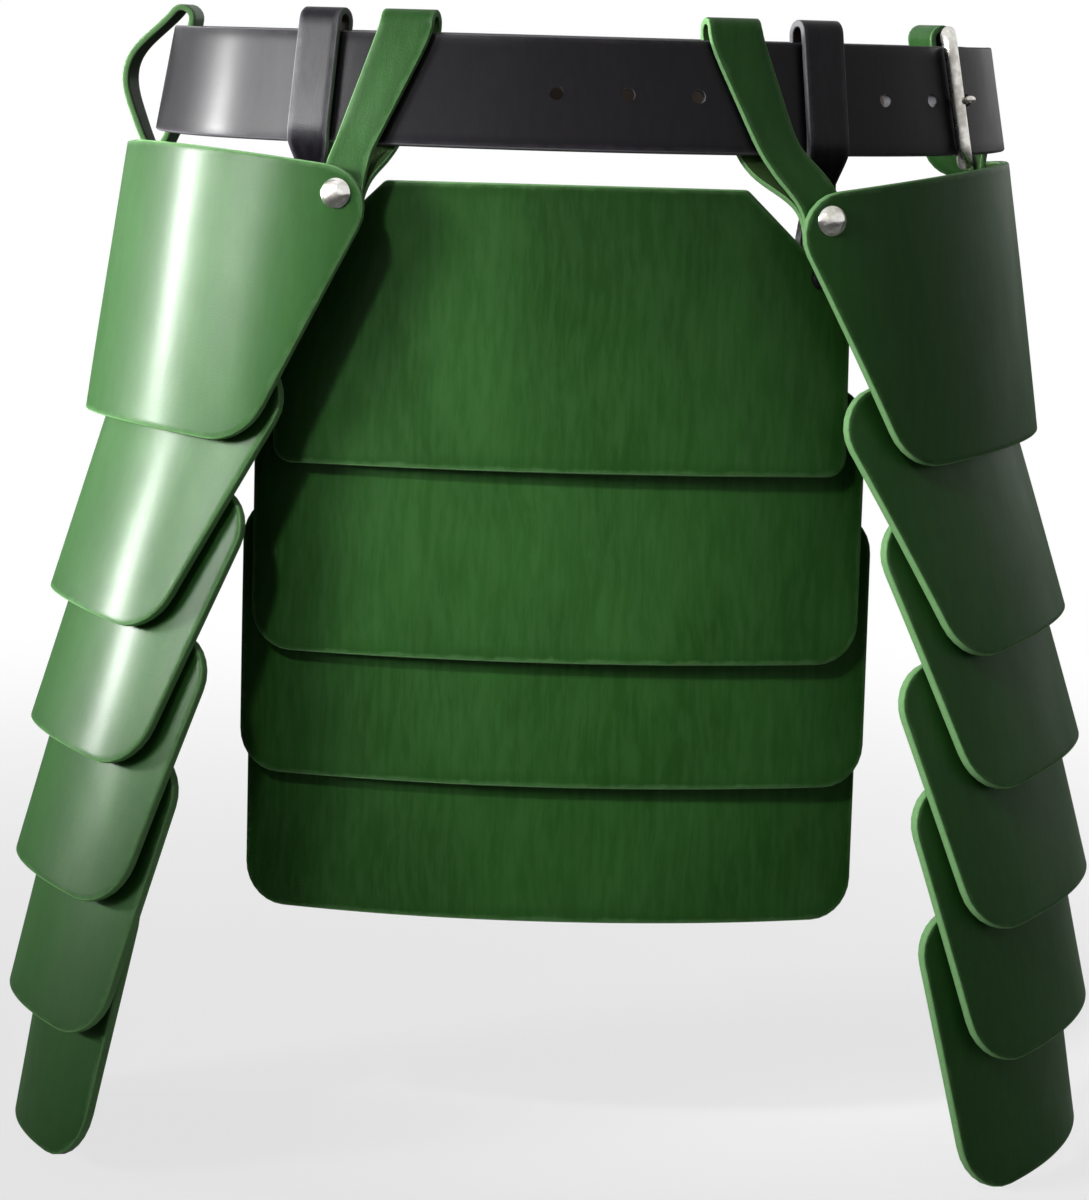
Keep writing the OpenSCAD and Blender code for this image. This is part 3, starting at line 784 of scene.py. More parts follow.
def point_cloud(name: str, frames: Sequence[Array]) -> bpy.types.Object:
    """Makes points that carry a turn each.

    Args:
        name: the object's name.
        frames: a frame for each point, whose Z axis the copy set there takes.

    Returns:
        The object.
    """
    mesh = bpy.data.meshes.new(name)
    mesh.from_pydata([metres(f[:3, 3]) for f in frames], [], [])
    turns = [tuple(Matrix(f[:3, :3].tolist()).to_euler()) for f in frames]
    store = mesh.attributes.new("turn", "FLOAT_VECTOR", "POINT")
    store.data.foreach_set("vector", np.array(turns).ravel())
    return link(name, mesh)


# Finishes


@dataclass(frozen=True)
class Grain:
    """Leather surface: drawn fibre streaks, dye mottling and fine pores, with a height."""

    seed_way: Place = (0.37, 0.91, 0.53)
    sway_scale: float = 22.0
    sway: Place = (0.006, 0.006, 0.0)
    streak_stretch: Place = (1.0, 1.0, 0.13)
    mottle_stretch: Place = (1.0, 1.0, 0.45)
    mottle_scale: float = 26.0
    pore_edge: float = 0.65
    coarse_scale: float = 420.0
    pore_rise: float = 0.35
    coarse_rise: float = 0.5
    streak_rise: float = 0.55

    def tree(self) -> bpy.types.NodeTree:
        """Builds the shader group.

        Returns:
            Its tree.
        """
        g = Graph.group("Leather Grain", "ShaderNodeTree", {
            "Vector": "Vector", "Seed": 0.0, "Streak Scale": 260.0, "Pore Scale": 1500.0})
        at = g.vector("ADD", g.given["Vector"], g.vector("SCALE", self.seed_way, g.given["Seed"]))
        bent = g.vector("SCALE", self.sway, g.noise(at, self.sway_scale, 1.0))
        drawn = g.vector("ADD", at, bent)
        streaks = g.noise(g.vector("MULTIPLY", drawn, self.streak_stretch),
                          g.given["Streak Scale"], 4.0, 0.6)
        mottle = g.noise(g.vector("MULTIPLY", drawn, self.mottle_stretch),
                         self.mottle_scale, 4.0, 0.6)
        pores = g.add("ShaderNodeTexVoronoi", {"Vector": at, "Scale": g.given["Pore Scale"]},
                      feature="F1").outputs["Distance"]
        fine = g.ramp(pores, 0.0, self.pore_edge)
        height = g.maths("ADD", g.times(fine, self.pore_rise),
                         g.times(g.noise(at, self.coarse_scale, 3.0), self.coarse_rise))
        height = g.maths("ADD", height, g.times(streaks, self.streak_rise))
        return g.finish({"Streaks": streaks, "Mottle": mottle, "Height": height})


@dataclass(frozen=True)
class CutEdge:
    """Masks of a cut leather edge: its raw wall, a rubbed band and a burnished line inside it."""

    ragged_scale: float = 160.0
    ragged: float = 3.2
    rubbed: tuple[float, float] = (1.0, 0.1)
    line_inner: tuple[float, float] = (6.5, 3.0)
    line_outer: tuple[float, float] = (1.0, 2.6)
    raw: tuple[float, float] = (0.12, 0.5)

    def tree(self) -> bpy.types.NodeTree:
        """Builds the shader group.

        Returns:
            Its tree.
        """
        g = Graph.group("Leather Edge", "ShaderNodeTree", {
            "Vector": "Vector", "Cut": 0.0, "Edge": FAR, "Band": 2.2})
        rough = g.noise(g.given["Vector"], self.ragged_scale, 4.0, 0.65)
        wander = g.times(g.maths("SUBTRACT", rough, 0.5), self.ragged)
        far = g.maths("ADD", g.given["Edge"], wander)
        rubbed = g.ramp(g.maths("DIVIDE", far, g.given["Band"]), *self.rubbed)
        burnished = g.times(g.ramp(far, *self.line_inner), g.ramp(far, *self.line_outer))
        return g.finish({"Raw": g.ramp(g.given["Cut"], *self.raw), "Rubbed": rubbed,
                         "Burnished": burnished})


def scuff_tree() -> bpy.types.NodeTree:
    """Fine scuffs and dull patches of worn metal.

    Returns:
        The shader group's tree.
    """
    g = Graph.group("Metal Scuffs", "ShaderNodeTree", {"Vector": "Vector", "Scale": 600.0})
    at, scale = g.given["Vector"], g.given["Scale"]
    patch = g.noise(at, scale, 3.0)
    scratch = g.noise(g.vector("MULTIPLY", at, (1.0, 6.0, 0.7)), scale, 5.0, 0.7)
    return g.finish({"Dull": g.ramp(patch, 0.35, 0.7), "Height": g.maths("ADD", patch, scratch)})


class Effects:
    """The shader groups that the finishes share, each built once."""

    def __init__(self) -> None:
        """Builds the groups."""
        self.grain, self.edge, self.scuff = Grain().tree(), CutEdge().tree(), scuff_tree()


def new_material(name: str) -> tuple[bpy.types.Material, Graph]:
    """A material with a Principled BSDF, and its graph."""
    made = bpy.data.materials.new(name)
    made.use_nodes = True
    return made, Graph(made.node_tree)


@dataclass(frozen=True)
class LeatherFinish:
    """Dyed leather: its face, deeper dye, rubbed edge, raw cut wall and rough inner side."""

    name: str
    face: Colour
    deep: Colour
    rubbed: Colour
    raw: Colour
    flesh: Colour
    rough: float = 0.42
    coat: float = 0.05
    coat_rough: float = 0.3
    specular: float = 0.22
    tint: Colour = (1.0, 1.0, 1.0, 1.0)
    streaks: float = 0.5
    bump: float = 0.00014
    pore_scale: float = 1500.0
    streak_scale: float = 420.0

    def material(self, effects: Effects) -> bpy.types.Material:
        """Builds the finish from the shared groups.

        Args:
            effects: the groups.

        Returns:
            The material.
        """
        made, g = new_material(self.name)
        at = g.add("ShaderNodeTexCoord").outputs["Object"]
        cut, edge, back, seed = (g.add("ShaderNodeAttribute", attribute_name=key).outputs["Fac"]
                                 for key in ("cut", "edge", "back", "seed"))
        grain = g.add("ShaderNodeGroup", {
            "Vector": at, "Seed": seed, "Pore Scale": self.pore_scale,
            "Streak Scale": self.streak_scale}, node_tree=effects.grain).outputs
        rim = g.add("ShaderNodeGroup", {"Vector": at, "Cut": cut, "Edge": edge},
                    node_tree=effects.edge).outputs
        dye = g.mix(g.ramp(grain["Mottle"], 0.3, 0.72), self.deep, self.face)
        light = g.times(g.ramp(grain["Streaks"], 0.36, 0.66), self.streaks)
        dye = g.mix(light, dye, g.mix(0.55, dye, self.rubbed))
        dark = g.times(g.ramp(grain["Streaks"], 0.5, 0.28), self.streaks)
        dye = g.mix(dark, dye, g.mix(0.6, dye, self.deep))
        dye = g.mix(g.times(rim["Burnished"], 0.35), dye, self.deep)
        dye = g.mix(g.times(rim["Rubbed"], 0.55), dye, self.rubbed)
        fibre = g.mix(g.noise(at, 900.0, 4.0, 0.7), self.raw, g.mix(0.5, self.raw, self.deep))
        flesh = g.mix(g.noise(at, 300.0, 5.0, 0.7), self.flesh, g.mix(0.6, self.flesh, self.deep))
        behind = g.ramp(back, 0.8, 0.98)
        dye = g.mix(rim["Raw"], g.mix(behind, dye, flesh), fibre)
        gloss = g.ramp(grain["Mottle"], 0.3, 0.75, self.rough + 0.07, self.rough - 0.04)
        matt = g.times(g.maths("MAXIMUM", rim["Raw"], behind), 0.3)
        lift = g.add("ShaderNodeBump", {"Height": grain["Height"], "Distance": self.bump,
                                        "Strength": 1.0})
        g.feed(g.tree.nodes["Principled BSDF"], {
            "Base Color": dye, "Roughness": g.maths("ADD", gloss, matt, clamp=True),
            "Normal": lift.outputs[0], "Specular IOR Level": self.specular,
            "Specular Tint": self.tint, "Coat Weight": self.coat,
            "Coat Roughness": self.coat_rough})
        return made


@dataclass(frozen=True)
class MetalFinish:
    """Plated metal, or metal coloured near black as painted shade, with scuffs that dull it."""

    name: str
    bright: Colour
    dull: Colour
    rough: float
    more_rough: float = 0.16
    bump: float = 0.00008
    scale: float = 600.0

    def material(self, effects: Effects) -> bpy.types.Material:
        """Builds the finish from the shared group.

        Args:
            effects: the groups.

        Returns:
            The material.
        """
        made, g = new_material(self.name)
        at = g.add("ShaderNodeTexCoord").outputs["Object"]
        scuff = g.add("ShaderNodeGroup", {"Vector": at, "Scale": self.scale},
                      node_tree=effects.scuff).outputs
        gloss = g.ramp(scuff["Dull"], 0.0, 1.0, self.rough, self.rough + self.more_rough)
        lift = g.add("ShaderNodeBump", {"Height": scuff["Height"], "Distance": self.bump})
        g.feed(g.tree.nodes["Principled BSDF"], {
            "Base Color": g.mix(scuff["Dull"], self.bright, self.dull), "Roughness": gloss,
            "Normal": lift.outputs[0], "Metallic": 1.0})
        return made


class Finish(Enum):
    """Every finish of the skirt, with linear colours."""

    GREEN = LeatherFinish(
        "Green lame leather", face=(0.020, 0.080, 0.014, 1), deep=(0.010, 0.049, 0.006, 1),
        rubbed=(0.085, 0.195, 0.070, 1), raw=(0.230, 0.460, 0.190, 1),
        flesh=(0.050, 0.085, 0.028, 1), rough=0.44, coat=0.09, coat_rough=0.23,
        specular=0.12, tint=(0.8, 1.0, 0.75, 1), streaks=0.18, bump=0.00007)
    SMOOTH_GREEN = replace(
        GREEN, name="Smooth green lame leather", face=(0.021, 0.082, 0.015, 1),
        deep=(0.013, 0.060, 0.009, 1), coat_rough=0.24, streaks=0.09, bump=0.00005)
    STRAP_GREEN = replace(
        GREEN, name="Green strap leather", face=(0.022, 0.088, 0.016, 1),
        deep=(0.012, 0.056, 0.008, 1), flesh=(0.050, 0.090, 0.030, 1), coat_rough=0.25,
        streaks=0.15, bump=0.00014)
    BELT = LeatherFinish(
        "Black belt leather", face=(0.0060, 0.0050, 0.0075, 1),
        deep=(0.0035, 0.0030, 0.0045, 1), rubbed=(0.045, 0.040, 0.048, 1),
        raw=(0.170, 0.165, 0.175, 1), flesh=(0.050, 0.038, 0.030, 1), rough=0.40, coat=0.09,
        coat_rough=0.27, specular=0.10, streaks=0.1, bump=0.00007, pore_scale=1900.0)
    BLACK = replace(
        BELT, name="Black strap leather", face=(0.0065, 0.0055, 0.0085, 1),
        rubbed=(0.090, 0.085, 0.100, 1), raw=(0.280, 0.275, 0.290, 1),
        flesh=(0.055, 0.045, 0.038, 1), rough=0.38, coat_rough=0.22, streaks=0.15, bump=0.0001)
    INNER = LeatherFinish(
        "Brown inner leather", face=(0.045, 0.027, 0.015, 1), deep=(0.026, 0.014, 0.008, 1),
        rubbed=(0.100, 0.062, 0.038, 1), raw=(0.140, 0.095, 0.060, 1),
        flesh=(0.090, 0.058, 0.035, 1), rough=0.60, coat=0.0, specular=0.2, streaks=0.3)
    NICKEL = MetalFinish("Nickel plate", (0.74, 0.73, 0.69, 1), (0.50, 0.48, 0.43, 1), 0.24,
                         bump=0.000003, scale=260.0)
    # Painted shade: near-black rivet metal, so that the front top lame's rivets read as the shade
    # they sit in.
    BLACK_METAL = MetalFinish("Blacked steel", (0.05, 0.05, 0.055, 1),
                              (0.02, 0.02, 0.022, 1), 0.35)


class Wardrobe:
    """Dresses pieces in the finishes, each built when it is first asked for."""

    def __init__(self) -> None:
        """Builds the shared effects."""
        self.effects = Effects()
        self.made: dict[Finish, bpy.types.Material] = {}

    def of(self, finish: Finish) -> bpy.types.Material:
        """The material of a finish."""
        if finish not in self.made:
            self.made[finish] = finish.value.material(self.effects)
        return self.made[finish]

    def cover(self, piece: bpy.types.Object, finish: Finish) -> None:
        """Gives a piece the material of a finish as its only one."""
        piece.data.materials.clear()
        piece.data.materials.append(self.of(finish))

    def dress(self, piece: bpy.types.Object, finish: Finish, slot: str, node: str) -> None:
        """Gives a piece its finish and hides the frame's node that it stands for.

        Args:
            piece: the finished piece.
            finish: its finish.
            slot: not used.
            node: name of the frame's node.
        """
        self.cover(piece, finish)
        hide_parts(node)
        LOG.info("%s: %d points", piece.name, len(piece.data.vertices))


# The belt


@dataclass
class Belt:
    """The waist belt: a strap round an oval ring, its fold, its buckle and its prong."""

    wardrobe: Wardrobe
    height: float = 38.0
    thick: float = 3.5
    half_wide: float = 150.0
    half_deep: float = 113.0
    hip_r: float = 95.0
    flare_out: float = 3.5
    hole_pitch: float = 24.4
    hole_d: float = 4.8
    hole_start: float = -4.4
    holes: int = 8
    lift_az: float = 40.0
    lift_more: float = 32.5
    tip_az: float = 96.0
    tip_r: float = 14.0
    tip_flat: float = 0.4
    heel_az: float = 73.0
    buckle_l: float = 28.0
    buckle_heel_r: float = 3.2
    buckle_toe_r: float = 5.5
    room: float = 2.6
    wire: float = 5.0
    bar_d: float = 4.4
    toe_gap: float = 0.4
    prong_d: float = 2.8
    eye_out: float = 2.2
    eye_r: float = 3.5
    eye_wire: float = 1.85
    fold_t: float = 3.2
    fold_l: float = 30.0
    fold_gap: float = 0.2
    fold_start_a: float = 4.0
    flap_w: float = 0.468
    turn_w: float = 0.488
    flap_a: float = 5.0
    slot_room: float = 2.0
    arc_step: float = 4.5
    prong_under: float = 0.9
    prong_over: float = 0.7
    prong_rest: float = 0.3
    prong_past: float = 3.0
    prong_taper: tuple[float, ...] = (1, 0.98, 0.95, 0.9, 0.83, 0.7, 0.42)
    eye_flat: float = 0.47

    def __post_init__(self) -> None:
        """Works out the ring's arcs and the buckle's place."""
        hip_x, bulge = self.half_wide - self.hip_r, self.half_deep - self.hip_r
        self.hip = np.array([hip_x, 0])
        self.flat_y = (hip_x ** 2 - bulge ** 2) / (2 * bulge)
        self.flat_r = self.half_deep + self.flat_y
        self.meet = math.degrees(math.atan2(hip_x, self.flat_y))
        self.flare = math.degrees(math.atan2(2 * self.flare_out, self.height))
        self.edge_z = self.height / 2 / math.cos(math.radians(self.flare))
        self.lift_r = self.hip_r + self.lift_more
        self.lift_c = self.hip + (self.hip_r - self.lift_r) * heading(self.lift_az)
        self.meet_arc = math.radians(self.meet) * self.flat_r
        self.lift_arc = self.meet_arc + math.radians(self.lift_az - self.meet) * self.hip_r
        self.fold_out = self.bar_d / 2 + self.fold_gap + self.fold_t
        self.heel_p = self.hip + (self.hip_r - self.fold_out) * heading(self.heel_az)
        toe_r = self.lift_r + self.wire / 2 + self.toe_gap
        d = self.heel_p - self.lift_c
        gap = (d @ d + toe_r ** 2 - self.buckle_l ** 2) / (2 * np.linalg.norm(d) * toe_r)
        toe = math.degrees(math.atan2(d[0], -d[1]) - math.acos(gap))
        reach = d - toe_r * heading(toe)
        self.buckle_az = math.degrees(math.atan2(reach[1], reach[0]))
        last = self.hole_start + (self.holes - 1) * self.hole_pitch - self.lift_arc
        self.hole_az = self.lift_az + math.degrees(last / self.lift_r)
        self.hole = self.lift_c + self.lift_r * heading(self.hole_az)
        aside = (self.hole - self.heel_p) @ heading(self.heel_az)
        self.prong_z = -aside * math.tan(math.radians(self.flare))

    def arc_frame(self, centre: Sequence[float], radius: float, azimuth: float) -> Array:
        """A frame on the outside of an arc of the strap, -Y outwards and Z up it."""
        return (shift(*centre, 0) @ turn("z", azimuth) @ shift(0, -radius, 0)
                @ turn("x", -self.flare))

    def at(self, azimuth: float) -> Array:
        """The frame on the ring at an azimuth of its front or right side."""
        if abs(azimuth) < self.meet:
            return self.arc_frame((0, self.flat_y), self.flat_r, azimuth)
        return self.arc_frame(self.hip, self.hip_r, azimuth)

    def along(self, arc: float) -> Array:
        """The frame at a distance along the strap.

        Args:
            arc: distance from the middle of the front.

        Returns:
            The 4x4 frame.
        """
        if arc < self.meet_arc:
            return self.at(math.degrees(arc / self.flat_r))
        if arc < self.lift_arc:
            return self.at(self.meet + math.degrees((arc - self.meet_arc) / self.hip_r))
        more = math.degrees((arc - self.lift_arc) / self.lift_r)
        return self.arc_frame(self.lift_c, self.lift_r, self.lift_az + more)

    def heel(self, azimuth: float) -> Array:
        """A frame at the bar that the strap is folded round, turned to an azimuth."""
        return (shift(*self.heel_p, 0) @ turn("z", self.heel_az) @ turn("x", -self.flare)
                @ turn("z", azimuth - self.heel_az))

    def in_buckle(self, point: Array) -> Array:
        """A plan point as a place along the buckle and outwards from its bar."""
        a, d = math.radians(self.buckle_az), point - self.heel_p
        return np.array([d @ np.array([math.cos(a), math.sin(a)]), -(d @ heading(self.buckle_az))])

    def half_at(self, left: float) -> float:
        """Half the strap's width at a distance before its free end, which is rounded."""
        short = math.sqrt(max(self.tip_r ** 2 - (self.tip_r - min(left, self.tip_r)) ** 2, 0))
        return self.edge_z - self.tip_r + max(short, self.tip_flat)

    def stations(self) -> list[Station]:
        """Cross-sections from the flap, round the bar and the ring, to the free end.

        Returns:
            The stations in order.
        """
        made: list[Station] = []

        def add(frame: Array, x: float, y: float, out: Array, half: float, thick: float) -> None:
            """Adds a cross-section whose width is along the frame's Z."""
            made.append(Station(spot(frame, x, y, 0), frame[:3, 2], frame[:3, :3] @ out, half,
                                0.0, thick))

        mid, fold_t = self.fold_out - self.fold_t / 2, self.fold_t - 0.1
        for x in np.linspace(self.fold_l, 3, 8):
            add(self.heel(self.heel_az - self.flap_a), x, mid, np.array([0, 1.0, 0]),
                self.height * self.flap_w, fold_t)
        for a in np.radians(np.linspace(85, 255, 13)):
            x, y = math.cos(a), math.sin(a)
            add(self.heel(self.heel_az), mid * x, mid * y, np.array([x, y, 0]),
                self.height * self.turn_w, fold_t)
        meet, flat_c = self.meet, np.array([0, self.flat_y])
        arcs = [(self.hip, self.hip_r, self.heel_az + self.fold_start_a, 180 - meet),
                (-flat_c, self.flat_r, 180 - meet, 180 + meet),
                (-self.hip, self.hip_r, 180 + meet, 360 - meet),
                (flat_c, self.flat_r, -meet, meet), (self.hip, self.hip_r, meet, self.lift_az),
                (self.lift_c, self.lift_r, self.lift_az, self.tip_az)]
        thick = self.thick * math.cos(math.radians(self.flare))
        for arc in arcs:
            centre, radius, low, high = arc
            n = max(2, round(math.radians(high - low) * radius / self.arc_step))
            reach = np.linspace(low, high, n + 1)[0 if arc is arcs[0] else 1:]
            if arc is arcs[-1]:
                corner = math.degrees(self.tip_r / radius)
                eased = high - corner * (1 - np.sin(np.radians(np.linspace(0, 90, 10))))
                reach = np.r_[reach[reach < high - corner - 1], eased]
            for azimuth in reach:
                left = math.radians(high - azimuth) * radius
                half = self.half_at(left) if arc is arcs[-1] else self.edge_z
                add(self.arc_frame(centre, radius, azimuth), 0, self.thick / 2,
                    np.array([0, -1.0, 0]), half, thick)
        return made

    def hole_frames(self) -> list[Array]:
        """A frame at each hole, in the middle of the strap, Z square to it."""
        return [self.along(self.hole_start + i * self.hole_pitch) @ shift(0, self.thick / 2, 0)
                @ turn("x", 90) for i in range(self.holes)]

    def in_hole(self, face: bpy.types.MeshPolygon) -> bool:
        """Whether a face of the strap is the wall of one of its holes.

        Args:
            face: the face.

        Returns:
            True on a hole's wall.
        """
        for bore in self.hole_frames():
            away = np.array(face.center) / MM - bore[:3, 3]
            depth = away @ bore[:3, 2]
            aside = np.linalg.norm(away - depth * bore[:3, 2])
            square = abs(np.array(face.normal) @ bore[:3, 2]) < 0.5
            if square and abs(depth) < self.thick and aside < self.hole_d / 2 + 0.1:
                return True
        return False

    def slot_cutter(self) -> bpy.types.Object:
        """Makes the block that cuts the prong's slot in the fold.

        Returns:
            The block.
        """
        f, high = self.fold_out, self.prong_d / 2 + self.slot_room
        block = Shell()
        block.add(np.array([spot(self.heel(self.heel_az), x, y, z + self.prong_z)
                            for x in (-f - 1, f * 0.9) for y in (-f - 2, f + 2)
                            for z in (-high, high)]))
        block.faces = [(0, 1, 3, 2), (4, 6, 7, 5), (0, 4, 5, 1), (2, 3, 7, 6), (0, 2, 6, 4),
                       (1, 5, 7, 3)]
        return block.build("slot_cutter")

    def mark(self, mesh: bpy.types.Mesh, shell: Shell, seed: float) -> None:
        """Writes the punched strap's attributes at its face corners.

        Points would spread a hole's raw wall over the large faces round it.

        Args:
            mesh: the punched strap.
            shell: the strap before it was punched.
            seed: its seed.
        """
        source = KDTree(shell.count)
        for i, point in enumerate(np.vstack(shell.points) * MM):
            source.insert(point, i)
        source.balance()
        near = [source.find(vertex.co)[1] for vertex in mesh.vertices]
        walls = {face.index for face in mesh.polygons if self.in_hole(face)}
        corners = [(face.index in walls, near[i]) for face in mesh.polygons for i in face.vertices]
        cut, edge, back = shell.marks.values()
        values = {"cut": [1.0 if wall else cut[i] for wall, i in corners],
                  "edge": [edge[i] for _, i in corners],
                  "back": [0.0 if wall else back[i] for wall, i in corners],
                  "seed": [seed] * len(corners)}
        for key, numbers in values.items():
            if key in mesh.attributes:
                mesh.attributes.remove(mesh.attributes[key])
            mesh.attributes.new(key, "FLOAT", "CORNER").data.foreach_set("value", numbers)

    def build_strap(self, trees: Trees, seed: float = 0.3) -> None:
        """Makes the strap, punches its holes and dresses it.

        Args:
            trees: the geometry trees.
            seed: shifts the leather's pattern.
        """
        strap = Strap(self.stations(), self.thick, step=60.0, passes=0, bevel=0.8,
                      across_parts=10)
        shell = strap.shell()
        piece = shell.build("belt_strap_leather", seed)
        dots, block = point_cloud("hole_points", self.hole_frames()), self.slot_cutter()
        grown(piece, trees["holes"], {
            "Points": dots, "Slot": block, "Hole Radius": self.hole_d / 2 * MM,
            "Finish": self.wardrobe.of(Finish.BELT)})
        self.mark(piece.data, shell, seed)
        shade(piece.data, 38.0)
        for tool in (dots, block):
            bpy.data.objects.remove(tool)
        self.wardrobe.dress(piece, Finish.BELT, "belt_leather", "belt_strap")
        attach(piece, "belt")

    def build_buckle(self) -> None:
        """Makes the wire buckle with rounded corners."""
        frame = self.heel(self.buckle_az)
        high = self.edge_z + self.room / 2 + self.wire / 2
        heel_r, toe_r, length = self.buckle_heel_r, self.buckle_toe_r, self.buckle_l
        corners = [(0, -high, heel_r), (-length, -high, toe_r), (-length, high, toe_r),
                   (0, high, heel_r)]
        path: list[Array] = []
        for i, (x, z, r) in enumerate(corners):
            p, after = np.array([x, z]), corners[(i + 1) % 4]
            u, v = (unit(np.array(c[:2]) - p) for c in (corners[i - 1], after))
            path += [p + r * (u + v) - r * (math.cos(t) * v + math.sin(t) * u)
                     for t in np.linspace(0, math.pi / 2, 9)]
            start, stop = path[-1], np.array(after[:2]) - after[2] * v
            path += [start + (stop - start) * s for s in np.linspace(0.08, 0.92, 9)]
        flat = np.array(path)
        slim = (np.abs(flat[:, 0]) < 0.6) & (np.abs(flat[:, 1]) < high - 2.5)
        radii = self.wire / 2 - slim * (self.wire - self.bar_d) / 2
        points = np.array([spot(frame, x, 0, z) for x, z in flat])
        piece = wire_shell(points, radii, frame[:3, 1], True, 24).build("buckle_frame_nickel")
        self.wardrobe.dress(piece, Finish.NICKEL, "nickel", "buckle_frame")
        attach(piece, "buckle")

    def build_prong(self) -> None:
        """Makes the prong: an eye round the bar and a wire that narrows to its tip."""
        frame, out = self.heel(self.buckle_az), heading(self.hole_az)
        half = self.prong_d / 2
        rest = self.wire / 2 + half + self.prong_rest
        knots = [np.array([1.0 - self.bar_d / 2 - self.eye_out, 1.0]),
                 self.in_buckle(self.hole - (self.thick + half + self.prong_under) * out),
                 self.in_buckle(self.hole + (half + self.prong_over) * out),
                 np.array([-self.buckle_l - 0.5, -rest]),
                 np.array([-self.buckle_l - self.prong_past, 1 - rest])]
        rows = [knots[0]]
        for a, b in zip(knots, knots[1:]):
            rows += [a + (b - a) * t for t in np.linspace(0, 1, 8)[1:]]
        flat = np.array(rows)
        for _ in range(3):
            flat[1:-1] += (flat[:-2] + flat[2:] - 2 * flat[1:-1]) * 0.25
        points = np.array([spot(frame, x, y, self.prong_z) for x, y in flat])
        radii = np.full(len(points), half)
        radii[-len(self.prong_taper):] *= np.array(self.prong_taper)
        shell = wire_shell(points, radii, frame[:3, 2], False, 18)
        ring = np.array([spot(frame, self.eye_r * math.cos(a), self.eye_r * math.sin(a),
                              self.prong_z) for a in np.radians(np.arange(0, 360, 11.25))])
        wire_shell(ring, np.full(len(ring), self.eye_wire), frame[:3, 2], True, 16, self.eye_flat,
                   shell)
        piece = shell.build("buckle_prong_nickel")
        self.wardrobe.dress(piece, Finish.NICKEL, "nickel", "buckle_prong")
        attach(piece, "prong")

    def build(self, trees: Trees, frame: dict) -> None:
        """Makes every piece of the belt.

        Args:
            trees: the geometry trees.
            frame: the loaded frame, whose own fold rivets are kept.
        """
        self.build_strap(trees)
        self.build_buckle()
        self.build_prong()
        self.wardrobe.cover(frame["nodes"]["fold_rivets"], Finish.NICKEL)


# The tassets


@dataclass
class Fixings:
    """Sizes of the hangers, inner leathers and rivets that all tassets share."""

    belt: Belt
    hanger_t: float = 2.4
    pad_w: float = 15.0
    pad_low: float = 6.4
    pad_mid: float = 2.0
    pad_end: float = 0.3
    leather_t: float = 1.6
    leather_w: float = 14.0
    shank_d: float = 4.4
    big_d: float = 10.4
    big_h: float = 3.0
    small_d: float = 8.6
    small_h: float = 1.1
    rivet_down: float = 9.5
    rivet_side: float = 17.0
    rivet_in: float = 36.0
    loop_rise: float = 3.0
    loop_ease: float = 2.0
    pad_gap: float = 0.6
    layer_gap: float = 0.1
    hug: float = 0.9
    lame_t: float = 4.0
    head_lip: float = 0.28
    leather_above: float = 5.5
    leather_below: float = 5.0

    def __post_init__(self) -> None:
        """Works out the layers behind a lame and a hanger's places on the belt."""
        layer = self.hanger_t + self.layer_gap
        self.pads = [self.lame_t + self.pad_gap + i * layer for i in range(3)]
        self.legs = [pad + self.hanger_t / 2 for pad in self.pads[:2]]
        self.outer_y = -self.hug - self.hanger_t / 2
        self.inner_y = self.belt.thick + self.hug + self.hanger_t / 2
        self.high = self.belt.edge_z + self.loop_rise
        self.top_z = self.high - self.loop_ease
        self.pad_up = self.rivet_down - 2

    def under(self, k: int) -> float:
        """Depth behind a lame where its own inner leathers start."""
        return self.pads[2 if k == 1 else 0]

    def rivet_shell(self, large: bool, depth: float) -> Shell:
        """A rivet from its head on the outer face to its tail, with Z outwards.

        Args:
            large: whether it has the large domed head.
            depth: depth of the first layer's front behind the outer face.

        Returns:
            The mesh that is being made.
        """
        d, h = (self.big_d, self.big_h) if large else (self.small_d, self.small_h)
        back = depth + self.leather_t + self.layer_gap
        ball = (d * d / 4 + h * h) / (2 * h)
        reach = math.asin(min(d / 2 / ball, 1.0)) if h < d / 2 else math.pi / 2
        head = [(ball * math.sin(a), h - ball + ball * math.cos(a))
                for a in np.linspace(0, reach, 9)]
        tail = (self.small_d - 1) / 2
        shank = self.shank_d / 2
        profile = [*head[:-1], (d / 2, self.head_lip), (d / 2 - 0.15, 0.02), (shank, 0.0),
                   (shank, -back), (tail - 0.1, -back - 0.02), (tail, -back - 0.25),
                   (tail * 0.72, -back - 0.62), (tail * 0.4, -back - 0.82), (0, -back - 0.9)]

        def dent(angle: float, high: float) -> float:
            """Share that a struck head's radius loses at an angle and a height."""
            if not large or high < 0.3:
                return 0.0
            return 0.035 * math.sin(3 * angle + high * 2.1) + 0.025 * math.sin(5 * angle + 1.7)

        return lathe(profile, dent)

    def leg(self, rivet: Array, layer: int, heights: Sequence[float]) -> list[Station]:
        """A hanger's leg, flat behind a lame.

        Args:
            rivet: frame of the lame's rivet.
            layer: 0 for the outer leg, which starts the hanger, 1 for the inner one.
            heights: heights of its stations over the rivet, upwards.

        Returns:
            The stations in order.
        """
        way = [station(rivet, (0, self.legs[layer], z), self.pad_w / 2, 180.0 * layer)
               for z in heights]
        return way[::-1] if layer else way

    def over_belt(self, frame: Array, half: float) -> list[Station]:
        """A hanger's way over the belt's top edge, down to its inner side.

        Args:
            frame: the belt's frame there.
            half: half the hanger's width.

        Returns:
            The stations in order.
        """
        radius, mid = self.belt.thick / 2 + self.hug + self.hanger_t / 2, self.belt.thick / 2
        bend = [station(frame, (0, mid - radius * math.cos(a), self.high + radius * math.sin(a)),
                        half, math.degrees(a), 0.0) for a in np.radians(np.linspace(0, 180, 11))]
        return [*bend, station(frame, (0, self.inner_y, self.top_z), half, 180, 0.4)]


